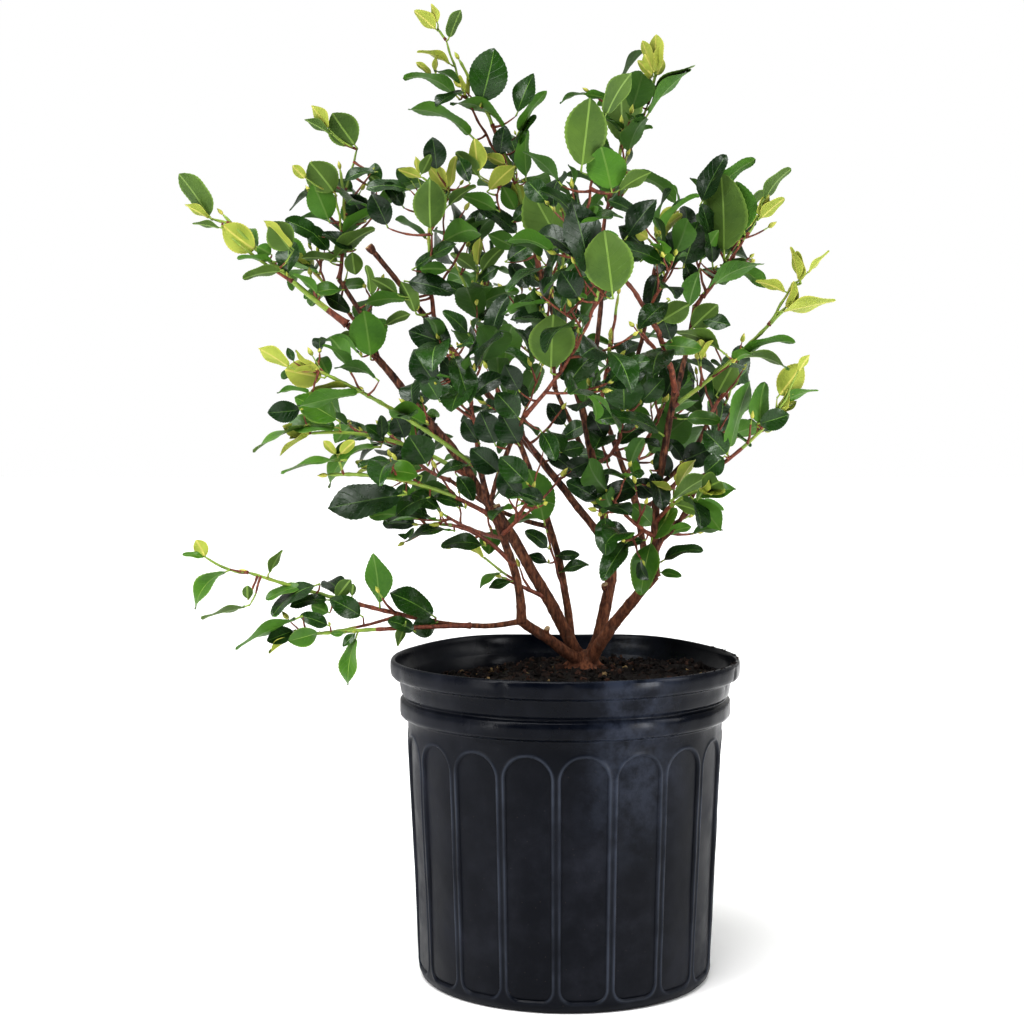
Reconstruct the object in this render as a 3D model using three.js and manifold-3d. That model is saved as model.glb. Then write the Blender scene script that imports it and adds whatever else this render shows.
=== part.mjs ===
// Camellia shrub in a moulded nursery pot. Millimetres, +Z up, origin at the centre of the pot's flat
// underside. The shrub is a cluster of stems from one root crown, boughs that fork from the stems, and masses
// of foliage, each of which grows from one bough or stem. -Y is the side that the shrub is shown from.
import * as THREE from "three";
import { mergeVertices } from "three/addons/utils/BufferGeometryUtils.js";
import Module from "manifold-3d";

const wasm = await Module();
wasm.setup();

// ---------------------------------------------------------------- driving dimensions

const GAP = 0.3; // clearance between two pieces that touch
const TURN = 2 * Math.PI;
const DEGREE = Math.PI / 180;
const UP = new THREE.Vector3(0, 0, 1);

// The pot: a thin moulded shell with a rolled lip, a neck, a bead and eighteen arched flutes.
const POT = {
  height: 242, rim: 132.5, neck: 125, bead: 125.4, shoulder: 119.9, bodyTop: 196, foot: 113.4, base: 111.2,
  wall: 1.8,
};
const FLUTE = { count: 18, turned: 5.5 * DEGREE, width: 32, bevel: 1.1 * DEGREE, depth: 2, top: 174, foot: 9 };

// The soil: a low mound round the root crown that falls towards the wall, higher on the right.
const SOIL = { seatRadius: 24, seatHeight: 229.7, edgeHeight: 221, rise: 4, lump: 1.6 };

// The root crown: where the stems part, off the pot's centre, on the soil's flat seat.
const CROWN = { x: 15, y: 28, z: SOIL.seatHeight + GAP, flare: 17, waist: 11, height: 15, stretch: 1.15 };

// Foliage. A shoot, which is a mass's stem or one of its side twigs, has a node every `spacing`, and each node
// bears a leaf or, on a stem, a side twig.
const SHOOT = { spacing: 10, sides: 3, girth: 1.7, tipGirth: 1.1, seat: 2.2, short: 0.78 };
const TWIG = { share: 0.66, tip: 0.75, angle: 52 * DEGREE, lift: 0.22, sag: 0.06, first: 0.24, shortest: 18 };
const LEAF = {
  length: 50, width: 0.6, keel: 0.045, first: 0.2, spread: 68 * DEGREE, closing: 36 * DEGREE,
  lift: 0.12, roll: 38 * DEGREE, jitter: 0.9, sizes: [1, 0.82, 0.66],
};
const ROOM = { margin: 1.2, limb: 2.2, foliage: 3.6 }; // clearances in a mass's own space, round limbs and leaves
const SEED = 4.7;

// Stems and boughs. A limb runs straight from its foot to its tip, pushed sideways by `bow` at its middle.
// `from` names the limb that it forks from and how far along that it starts; the four stems start inside the
// root crown.
const LIMBS = {
  stem_left_low: { foot: [12, 24, 236], tip: [-33, -8, 270], bow: [-2, -2, 0], girth: [4.4, 3.6] },
  stem_left_main: { foot: [11, 27, 238], tip: [-165, 10, 494], bow: [13, 0, 0], girth: [5, 2.4] },
  stem_centre_low: { foot: [21, 32, 238], tip: [35, 45, 323], bow: [7, 0, 0], girth: [4.8, 4.1] },
  stem_right_low: { foot: [20, 24, 236], tip: [68, -5, 304], bow: [-3, 0, 0], girth: [5, 3.7] },

  bough_low_left: { from: ["stem_left_low", 1], tip: [-97, -24, 271], bow: [0, 0, -3], girth: [2.1, 1.7] },
  stem_left_high: { from: ["stem_left_low", 1], tip: [-57, -36, 357], bow: [6, 0, 0], girth: [3.4, 2.7] },
  bough_left_inner: { from: ["stem_left_high", 1], tip: [-65, -52, 397], bow: [0, 0, 0], girth: [2.5, 2] },
  bough_front: { from: ["stem_left_high", 1], tip: [-31, -80, 426], bow: [-3, -6, 0], girth: [1.9, 1.5] },
  bough_left_top: { from: ["stem_left_main", 0.9], tip: [-173, 30, 529], bow: [4, 0, 0], girth: [2, 1.6] },
  bough_back_left: { from: ["stem_left_main", 0.04], tip: [-51, 110, 437], bow: [9, -5, 4], girth: [3, 1.9] },
  bough_back_left_low: {
    from: ["bough_back_left", 0.45], tip: [-90, 95, 372], bow: [0, 4, -6], girth: [1.9, 1.5],
  },

  stem_centre_high: { from: ["stem_centre_low", 1], tip: [-19, 45, 536], bow: [6, 0, 0], girth: [3.4, 2.2] },
  bough_crossing: { from: ["stem_centre_low", 1], tip: [-97, 12, 488], bow: [-2, 0, 4], girth: [3, 2] },
  bough_top_right: { from: ["stem_centre_high", 0.5], tip: [30, 62, 563], bow: [6, 5, 0], girth: [2.1, 1.6] },
  bough_back_middle: {
    from: ["stem_centre_high", 0.22], tip: [-5, 125, 446], bow: [4, 8, -8], girth: [2.2, 1.7],
  },

  stem_right_high: { from: ["stem_right_low", 1], tip: [81, -22, 441], bow: [-5, 0, 0], girth: [3.3, 2.4] },
  bough_back_right: { from: ["stem_right_low", 0.93], tip: [30, 75, 430], bow: [5, 0, 0], girth: [2.7, 1.9] },
  bough_back_right_low: {
    from: ["bough_back_right", 0.4], tip: [108, 82, 392], bow: [0, 6, -8], girth: [1.9, 1.5],
  },
  bough_right_side: {
    from: ["stem_right_high", 0.17], tip: [100, -22, 379], bow: [3, 0, -4], girth: [1.9, 1.5],
  },
  bough_right_middle: {
    from: ["stem_right_high", 0.5], tip: [110, 8, 425], bow: [4, 0, -4], girth: [1.8, 1.5],
  },
  bough_right_top: { from: ["stem_right_high", 0.86], tip: [99, 20, 507], bow: [2, 4, 0], girth: [2.2, 1.7] },
  bough_upper_middle: {
    from: ["bough_back_right", 0.9], tip: [64, 30, 505], bow: [4, -2, 0], girth: [1.8, 1.5],
  },
};

// Masses of foliage. Each has one stem, from its bough's tip or from the side of a stem, to its furthest tip.
// `spread` is the length of its lowest side twig, and `twigs` how many there are.
const MASSES = {
  leaves_low_left: {
    from: ["bough_low_left", 1], tip: [-272, -42, 322], bow: [0, 0, -2], spread: 34, twigs: 5, lift: -0.1,
  },
  leaves_low_left_under: {
    from: ["bough_low_left", 0.6], tip: [-236, -60, 262], bow: [0, -8, 2], spread: 34, twigs: 5, lift: 0,
  },
  leaves_low_centre: {
    from: ["stem_left_main", 0.18], tip: [-80, -8, 318], bow: [0, 0, 0], spread: 26, twigs: 2,
  },
  leaves_left_fringe: {
    from: ["stem_left_high", 0.5], tip: [-128, -66, 346], bow: [0, 0, 8], spread: 34, twigs: 4, lift: 0.1,
  },
  leaves_left_shoot_low: {
    from: ["stem_left_high", 0.92], tip: [-206, -108, 382], bow: [0, 0, 10], spread: 36, twigs: 5,
  },
  leaves_left_shoot_middle: {
    from: ["stem_left_main", 0.54], tip: [-228, -30, 408], bow: [0, 0, 12], spread: 44, twigs: 5,
  },
  leaves_left_shoot_high: {
    from: ["bough_left_inner", 0.7], tip: [-212, -95, 473], bow: [0, 0, 5], spread: 36, twigs: 4,
  },
  leaves_left_inner: {
    from: ["bough_left_inner", 1], tip: [-98, -86, 500], bow: [4, 0, 0], spread: 66, twigs: 6,
  },
  leaves_left_under: {
    from: ["stem_left_main", 0.36], tip: [-124, 66, 366], bow: [0, 0, -4], spread: 50, twigs: 4,
  },
  leaves_centre_low: {
    from: ["stem_left_high", 0.78], tip: [-14, -92, 404], bow: [0, 0, -6], spread: 54, twigs: 5,
  },
  leaves_far_left: {
    from: ["stem_left_main", 1], tip: [-284, 0, 604], bow: [0, 0, -4], spread: 38, twigs: 5, lift: 0.15,
  },
  leaves_left_between: {
    from: ["bough_left_top", 0.2], tip: [-220, 66, 566], bow: [0, 6, 0], spread: 46, twigs: 5,
  },
  leaves_left_top: {
    from: ["bough_left_top", 1], tip: [-180, 52, 652], bow: [4, 0, 0], spread: 56, twigs: 6,
  },
  leaves_back_left: {
    from: ["bough_back_left", 1], tip: [-102, 150, 580], bow: [6, 0, -4], spread: 80, twigs: 6,
  },
  leaves_back_left_low: {
    from: ["bough_back_left_low", 1], tip: [-160, 130, 436], bow: [0, 0, -6], spread: 60, twigs: 5,
  },
  leaves_upper_left: {
    from: ["bough_crossing", 1], tip: [-96, 14, 622], bow: [-4, 0, 0], spread: 76, twigs: 6,
  },
  leaves_crossing: {
    from: ["bough_crossing", 0.42], tip: [-52, -58, 462], bow: [0, 0, -4], spread: 66, twigs: 5,
  },
  leaves_top_left: {
    from: ["stem_centre_high", 1], tip: [-100, 20, 728], bow: [8, 0, 0], spread: 50, twigs: 6,
  },
  leaves_upper_centre: {
    from: ["stem_centre_high", 0.72], tip: [-4, -26, 592], bow: [0, -6, 0], spread: 72, twigs: 6,
  },
  leaves_top_right: {
    from: ["bough_top_right", 1], tip: [66, 50, 706], bow: [-2, 0, 0], spread: 50, twigs: 6,
  },
  leaves_back_middle: {
    from: ["bough_back_middle", 1], tip: [-8, 165, 588], bow: [0, 6, -4], spread: 80, twigs: 6,
  },
  leaves_front: { from: ["bough_front", 1], tip: [27, -140, 548], bow: [8, 0, 0], spread: 70, twigs: 6 },
  leaves_front_right: {
    from: ["stem_right_high", 1], tip: [-22, -120, 580], bow: [14, -8, 0], spread: 66, twigs: 6,
  },
  leaves_centre: {
    from: ["stem_centre_high", 0.3], tip: [40, -34, 456], bow: [6, 0, -6], spread: 66, twigs: 5,
  },
  leaves_centre_right: {
    from: ["stem_right_high", 0.22], tip: [12, -64, 394], bow: [0, 0, -4], spread: 50, twigs: 5,
  },
  leaves_inner_right: {
    from: ["bough_back_right", 0.6], tip: [92, 56, 470], bow: [0, 0, -4], spread: 60, twigs: 5,
  },
  leaves_upper_middle: {
    from: ["bough_upper_middle", 1], tip: [78, 18, 594], bow: [0, 0, 0], spread: 68, twigs: 5,
  },
  leaves_back_right: {
    from: ["bough_back_right", 1], tip: [52, 128, 560], bow: [0, 6, -4], spread: 78, twigs: 6,
  },
  leaves_back_right_low: {
    from: ["bough_back_right_low", 1], tip: [150, 112, 480], bow: [0, 0, -5], spread: 62, twigs: 6,
  },
  leaves_right_top: {
    from: ["bough_right_top", 1], tip: [154, 36, 600], bow: [0, 0, -3], spread: 62, twigs: 6,
  },
  leaves_right_middle: {
    from: ["bough_right_middle", 1], tip: [146, 20, 506], bow: [0, 0, -3], spread: 52, twigs: 5,
  },
  leaves_right_shoot: {
    from: ["stem_right_high", 0.93], tip: [184, -60, 532], bow: [0, 0, -4], spread: 30, twigs: 4,
  },
  leaves_right_side: {
    from: ["bough_right_side", 1], tip: [178, -42, 454], bow: [0, 0, -4], spread: 42, twigs: 5, lift: 0.32,
  },
  leaves_right_fringe: {
    from: ["stem_right_high", 0.12], tip: [126, 34, 352], bow: [0, 0, 6], spread: 38, twigs: 4, lift: 0.05,
  },
  leaves_front_right_low: {
    from: ["stem_right_high", 0.3], tip: [114, -96, 378], bow: [0, 0, 4], spread: 36, twigs: 4,
  },
};

// ---------------------------------------------------------------- solids

const potPlastic = new THREE.MeshStandardMaterial({ color: 0x1b1c1f, roughness: 0.38, metalness: 0 });
const pottingSoil = new THREE.MeshStandardMaterial({ color: 0x1f1712, roughness: 1, metalness: 0 });
const bark = new THREE.MeshStandardMaterial({ color: 0x5a3426, roughness: 0.85, metalness: 0 });
const foliage = new THREE.MeshStandardMaterial({ color: 0x2f5a2b, roughness: 0.45, metalness: 0 });

// A closed three.js geometry as a solid that can be cut and joined.
function solidOf(geometry) {
  const bare = geometry.clone();
  bare.deleteAttribute("normal");
  bare.deleteAttribute("uv");
  const merged = mergeVertices(bare, 1e-4);
  return solidFrom(merged.attributes.position.array, merged.index.array);
}

function solidFrom(places, faces) {
  const [vertProperties, triVerts] = [new Float32Array(places), new Uint32Array(faces)];
  return new wasm.Manifold(new wasm.Mesh({ numProp: 3, vertProperties, triVerts }));
}

// The largest piece of a solid, as a named mesh; scraps that a cut left loose are dropped.
function meshOf(name, solid, material) {
  const bodies = solid.decompose().sort((a, b) => b.volume() - a.volume());
  const { vertProperties, triVerts } = bodies[0].getMesh();
  const geometry = new THREE.BufferGeometry();
  geometry.setAttribute("position", new THREE.BufferAttribute(vertProperties, 3));
  geometry.setIndex(new THREE.BufferAttribute(triVerts, 1));
  geometry.computeVertexNormals();
  const mesh = new THREE.Mesh(geometry, material);
  mesh.name = name;
  return mesh;
}

// Moves every vertex of a geometry by a rule that changes the vector in place.
function reshape(geometry, rule) {
  const position = geometry.attributes.position;
  const v = new THREE.Vector3();
  for (let i = 0; i < position.count; i++) {
    rule(v.fromBufferAttribute(position, i));
    position.setXYZ(i, v.x, v.y, v.z);
  }
  return geometry;
}

// ---------------------------------------------------------------- the rule of growth

// A fixed number from 0 to 1 for each set of three whole numbers.
function chance(a, b, c) {
  const s = Math.sin(a * 12.9898 + b * 78.233 + c * 37.719 + SEED) * 43758.5453;
  return s - Math.floor(s);
}

// The point at share t of a path: straight from foot to tip, with the bow added as a parabola.
function along(path, t) {
  return path.foot.clone().lerp(path.tip, t).addScaledVector(path.bow, 4 * t * (1 - t));
}

// The direction in which a path runs at share t.
function heading(path, t) {
  return path.tip.clone().sub(path.foot).addScaledVector(path.bow, 4 * (1 - 2 * t)).normalize();
}

// Two directions square to a path's heading at share t. They turn with the path and never flip over.
function across(path, t) {
  const chord = path.tip.clone().sub(path.foot).normalize();
  const reference = Math.abs(chord.z) > 0.8 ? new THREE.Vector3(0, 1, 0) : UP;
  const direction = heading(path, t);
  const side = new THREE.Vector3().crossVectors(direction, reference).normalize();
  return [side, new THREE.Vector3().crossVectors(side, direction)];
}

// A path's foot, tip and bow as vectors; the foot may lie on the path that it forks from.
function pathOf(entry, limbs) {
  const foot = entry.from ? along(limbs[entry.from[0]], entry.from[1]) : new THREE.Vector3(...entry.foot);
  const [tip, bow] = [new THREE.Vector3(...entry.tip), new THREE.Vector3(...entry.bow)];
  return { foot, tip, bow, girth: entry.girth };
}

// A tapering tube along a path: a cylinder bent onto the path and scaled at each height. `extra` widens it and
// lengthens it at both ends.
function tube(path, sides, steps, extra = 0) {
  const [thick, thin] = path.girth;
  const straight = new THREE.CylinderGeometry(1, 1, 1, sides, steps);
  const bent = reshape(straight, (v) => {
    const t = 0.5 + v.y;
    const direction = heading(path, t);
    const [side, rise] = across(path, t);
    const radius = thick + (thin - thick) * t + extra;
    const centre = along(path, t).addScaledVector(direction, extra * (2 * t - 1));
    v.copy(centre.addScaledVector(side, v.x * radius).addScaledVector(rise, v.z * radius));
  });
  return solidOf(bent);
}

// The stem of one mass: it goes on from its bough at the bough's own girth, and stops short of the mass's
// furthest tip, which its last leaf reaches.
function massStem(mass, limbs) {
  const [bough, share] = mass.from;
  const stem = pathOf(mass, limbs);
  stem.tip.addScaledVector(heading(stem, 1), -SHOOT.short * LEAF.length);
  stem.girth = [share === 1 ? limbs[bough].girth[1] : SHOOT.girth, SHOOT.tipGirth];
  return stem;
}

// The nodes of a shoot: each stands on the next flat side of it, and leans out by `lean`.
function nodesOf(path, index, shoot, first) {
  const count = Math.max(1, Math.round((path.tip.distanceTo(path.foot) * (1 - first)) / SHOOT.spacing));
  return Array.from({ length: count }, (_, k) => {
    const t = first + ((1 - first) * (k + 0.35)) / count;
    const flat = (k + index + shoot) % SHOOT.sides;
    const turn = ((1 + 2 * flat) * Math.PI) / SHOOT.sides + LEAF.jitter * (chance(index, shoot, 10 + k) - 0.5);
    const [side, rise] = across(path, t);
    const out = side.multiplyScalar(Math.sin(turn)).addScaledVector(rise, Math.cos(turn));
    return { t, k, share: (k + 0.35) / count, flat, out, heading: heading(path, t), root: along(path, t) };
  });
}

// The direction that leaves a shoot at a node by an angle, lifted a little.
function leaning(node, angle, lift) {
  const way = node.heading.clone().multiplyScalar(Math.cos(angle)).addScaledVector(node.out, Math.sin(angle));
  return way.addScaledVector(UP, lift).normalize();
}

// A side twig that stands at a node of a mass's stem, at each length that is tried for it. It shortens towards
// the stem's tip, and curves up from a slight sag.
function twigsAt(node, mass, index, stem) {
  const way = leaning(node, TWIG.angle, mass.lift ?? TWIG.lift);
  const length = mass.spread * (1 - 0.5 * node.t) * (0.8 + 0.4 * chance(index, node.k, 2));
  const thick = TWIG.share * (stem.girth[0] + (stem.girth[1] - stem.girth[0]) * node.t);
  return [1, 0.8, 0.62, 0.45]
    .filter((share) => share * length > TWIG.shortest)
    .map((share) => ({
      foot: node.root,
      tip: node.root.clone().addScaledVector(way, length * share),
      bow: UP.clone().multiplyScalar(-TWIG.sag * length * share),
      girth: [thick, TWIG.tip * thick],
    }));
}

// The leaf at a node, or at a shoot's tip, where `share` is 1, at each size that is tried for it. It leans out
// less and less towards the tip, and its upper side is turned partly to the shoot's tip and partly to the sky.
function leavesAt(node, index, shoot) {
  const lean = node.share === 1 ? 0.12 : LEAF.spread - LEAF.closing * node.share ** 2;
  const way = leaning(node, lean, LEAF.lift);
  const face = node.heading.clone().addScaledVector(UP, 0.8).addScaledVector(node.out, node.share === 1 ? -1 : 0);
  face.addScaledVector(way, -face.dot(way)).normalize();
  face.applyAxisAngle(way, LEAF.roll * (2 * chance(index, shoot, 70 + node.k) - 1));
  const size = LEAF.length * (0.84 + 0.26 * chance(index, shoot, 40 + node.k)) * (1 - 0.2 * node.share ** 4);
  return LEAF.sizes.map((share) => ({ root: node.root, way, face, size: size * share }));
}

// A point of a leaf: `share` of its length along it, `out` across it as a share of its half width, and `up` from
// its plane as a share of its length.
function leafPoint(leaf, share, out, up) {
  const half = (leaf.size * LEAF.width) / 2;
  const side = new THREE.Vector3().crossVectors(leaf.face, leaf.way);
  const point = leaf.root.clone().addScaledVector(leaf.way, share * leaf.size);
  return point.addScaledVector(side, out * half).addScaledVector(leaf.face, up * leaf.size);
}

// ---------------------------------------------------------------- room: each mass keeps to its own space

const names = Object.keys(MASSES);
const limbs = {};
for (const [name, entry] of Object.entries(LIMBS)) limbs[name] = pathOf(entry, limbs);
const stems = names.map((name) => massStem(MASSES[name], limbs));
const spines = stems.map((stem) => Array.from({ length: 13 }, (_, i) => along(stem, i / 12)));
const limbPoints = Object.values(limbs).flatMap((limb) =>
  Array.from({ length: 41 }, (_, i) => ({
    centre: along(limb, i / 40),
    radius: limb.girth[0] + (limb.girth[1] - limb.girth[0]) * (i / 40),
  })),
);
const taken = []; // points of the leaves and twigs that have been grown so far

// A point's distance from a mass's stem. A point is in the space of the mass whose stem is nearest to it.
function reach(point, index) {
  return Math.min(...spines[index].map((p) => p.distanceTo(point)));
}

// Whether points lie clear of the pot, of the limbs, of what has been grown, and of the other masses' spaces.
function hasRoom(points, index) {
  return points.every((point) => {
    const own = reach(point, index) + ROOM.margin;
    return (
      (point.z > POT.height + ROOM.limb || Math.hypot(point.x, point.y) > POT.rim + ROOM.foliage) &&
      taken.every((other) => other.distanceTo(point) > ROOM.foliage) &&
      limbPoints.every(({ centre, radius }) => centre.distanceTo(point) > radius + ROOM.limb) &&
      names.every((_, other) => other === index || reach(point, other) > own)
    );
  });
}

const LEAF_ROWS = [[0.33, 0.9], [0.52, 0.95], [0.7, 0.8], [0.86, 0.4]];

function pointsOfLeaf(leaf) {
  const places = LEAF_ROWS.flatMap(([share, out]) => [-1, -0.5, 0, 0.5, 1].map((side) => [share, side * out]));
  return [...places, [1, 0]].map(([share, out]) => leafPoint(leaf, share, out, 0));
}

function pointsOfTwig(path) {
  const count = Math.ceil((path.tip.distanceTo(path.foot) * 0.75) / 6);
  return Array.from({ length: count + 1 }, (_, i) => along(path, 0.25 + (0.75 * i) / count));
}

// ---------------------------------------------------------------- the pieces

// A solid of revolution from a profile of [radius, height] points, upright.
function turned(profile, segments, rule) {
  const points = profile.map(([r, z]) => new THREE.Vector2(r, z));
  return solidOf(reshape(new THREE.LatheGeometry(points, segments), rule ?? ((v) => v.set(v.x, -v.z, v.y))));
}

const bodyRadius = (z) => POT.foot + ((POT.shoulder - POT.foot) * (z - FLUTE.foot)) / (POT.bodyTop - FLUTE.foot);

// The pot's shell: a turned body with its flutes pressed in, and a turned neck with its bead and rolled lip, both
// hollowed by one cavity. Each flute is a flat panel between two ribs, with a round arch at its top.
function potSolid() {
  const { height, rim, neck, bead, shoulder, bodyTop, foot, base, wall } = POT;
  const archFoot = FLUTE.top - FLUTE.width / 2;
  const rows = [FLUTE.foot, archFoot, archFoot + 10, FLUTE.top - 1.5, FLUTE.top].map((z) => [bodyRadius(z), z]);
  const bodyProfile = [[0, 0], [base, 0], [foot - 1, FLUTE.foot - 4], ...rows, [shoulder, bodyTop], [0, bodyTop]];
  const pitch = TURN / FLUTE.count;
  const halfPanel = FLUTE.width / 2 / shoulder;
  const body = turned(bodyProfile, FLUTE.count * 4, (v) => {
    const radius = Math.hypot(v.x, v.z);
    const step = Math.round((Math.atan2(v.x, v.z) / TURN) * FLUTE.count * 4);
    const flute = Math.floor(step / 4);
    const corner = step - 4 * flute;
    const rise = Math.max(0, v.y - archFoot) / (FLUTE.top - archFoot);
    const edge = halfPanel * (v.y > FLUTE.top ? 1 : Math.max(0.12, Math.sqrt(1 - rise * rise)));
    const corners = [-edge - FLUTE.bevel, -edge, edge, edge + FLUTE.bevel];
    const inPanel = v.y >= FLUTE.foot && v.y < FLUTE.top && (corner === 1 || corner === 2);
    const pressed = radius - (inPanel ? FLUTE.depth : 0);
    const angle = FLUTE.turned + flute * pitch + corners[corner];
    v.set(Math.sin(angle) * pressed, -Math.cos(angle) * pressed, v.y);
  });
  const collar = turned(
    [
      [0, bodyTop - 1], [shoulder - 1, bodyTop - 1], [bead - 1, 199], [bead, 203], [bead, 210.5], [neck - 3, 212.5],
      [neck - 1, 215], [neck, 226], [rim - 2.6, 228.5], [rim, 232], [rim, height - 2.5], [rim - 1.8, height],
      [0, height],
    ],
    36,
  );
  const cavity = turned(
    [
      [0, wall], [base - 3, wall], [bodyRadius(FLUTE.foot) - FLUTE.depth - wall, FLUTE.foot],
      [bodyRadius(FLUTE.top) - FLUTE.depth - wall, FLUTE.top], [shoulder - wall, bodyTop],
      [neck - 3 - wall, 212.5], [neck - 1 - wall, 216], [neck - wall, 227], [rim - 5, height - 5],
      [rim - 3.4, height + 1], [0, height + 1],
    ],
    36,
    (v) => turnWithFlutes(v, 0),
  );
  return body.add(collar).subtract(cavity);
}

// Turns a lathe's vertex with the flutes, and draws the vertices in the middle of each panel in to the panel's flat.
function turnWithFlutes(v, clear) {
  const radius = Math.hypot(v.x, v.z);
  const step = Math.round((Math.atan2(v.x, v.z) / TURN) * FLUTE.count * 2);
  const flat = step % 2 === 0 ? Math.cos(FLUTE.width / 2 / POT.shoulder) : 1;
  const angle = FLUTE.turned + (step * TURN) / FLUTE.count / 2;
  const inset = Math.max(0, radius * flat - clear);
  v.set(Math.sin(angle) * inset, -Math.cos(angle) * inset, v.y);
}

// The soil: it fills the pot 0.3 mm clear of the shell. Its top is flat under the root crown and lumpy elsewhere.
function soilSolid() {
  const { shoulder, bodyTop, base, neck, wall } = POT;
  const side = [
    [base - 3, wall + GAP], [bodyRadius(FLUTE.foot) - FLUTE.depth - wall, FLUTE.foot + 0.2],
    [bodyRadius(FLUTE.top) - FLUTE.depth - wall, FLUTE.top], [shoulder - wall, bodyTop + 0.2],
    [neck - 3 - wall, 213], [neck - 1 - wall, 216.5],
  ];
  const top = [neck - 0.8 - wall, 98, 66, 42].map((radius) => [radius, SOIL.edgeHeight]);
  const middle = [[SOIL.seatRadius, SOIL.seatHeight], [0, SOIL.seatHeight]];
  const edge = top[0][0];
  return turned([[0, wall + GAP], ...side, ...top, ...middle], 36, (v) => {
    const radius = Math.hypot(v.x, v.z);
    const onTop = v.y >= SOIL.edgeHeight;
    const raised = v.y === SOIL.edgeHeight;
    turnWithFlutes(v, 2 * GAP);
    if (!onTop) return;
    const inward = 1 - radius / edge;
    const away = THREE.MathUtils.smoothstep(radius, SOIL.seatRadius, edge);
    const slope = THREE.MathUtils.lerp(SOIL.seatHeight, SOIL.edgeHeight, away) + (SOIL.rise * away * v.x) / edge;
    const lumps = SOIL.lump * Math.sin(v.x * 0.13 + 1) * Math.cos(v.y * 0.11) * Math.sin(Math.PI * away);
    v.set(v.x + CROWN.x * inward, v.y + CROWN.y * inward, raised ? slope + lumps : v.z);
  });
}

// The root crown: a low flared stump, cut flat at the soil.
function crownSolid(extra = 0) {
  const { flare, waist, height } = CROWN;
  const outline = [[flare, 0], [flare - 3, 2.5], [waist, 6], [waist - 3, 11]];
  const wide = outline.map(([r, z]) => [r + extra, z + (z > 0 ? extra : -extra)]);
  return turned([[0, -extra], ...wide, [0, height + extra]], 12, (v) =>
    v.set(CROWN.x + v.x * CROWN.stretch, CROWN.y - v.z, CROWN.z + v.y),
  );
}

// A leaf: a six-sided outline, dished along its midrib by a keel under its middle. Its corners are low left, low
// right, keel, high left, high right and tip, and its skin is what lies past the low ones.
const LEAF_CORNERS = [
  [0.33, 0.9, 0.03], [0.33, -0.9, 0.03], [0.45, 0, -LEAF.keel], [0.7, 0.8, 0.01], [0.7, -0.8, 0.01], [1, 0, -0.1],
];
const LEAF_SKIN = [1, 4, 0, 4, 3, 0, 4, 5, 3, 2, 4, 1, 2, 5, 4, 2, 3, 5, 2, 0, 3];

// What a leaf or a side twig fills, from a little clear of the shoot that it stands on.
function leafSolid(leaf) {
  const corners = [...LEAF_CORNERS, [0.05, 0, 0]].flatMap((place) => leafPoint(leaf, ...place).toArray());
  return solidFrom(corners, [...LEAF_SKIN, 6, 1, 0, 6, 0, 2, 6, 2, 1]);
}

function twigSolid(path) {
  const share = 4 / path.tip.distanceTo(path.foot);
  const bow = path.bow.clone().multiplyScalar((1 - share) ** 2);
  return tube({ ...path, foot: along(path, share), bow }, 4, 3, 0.3);
}

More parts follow.
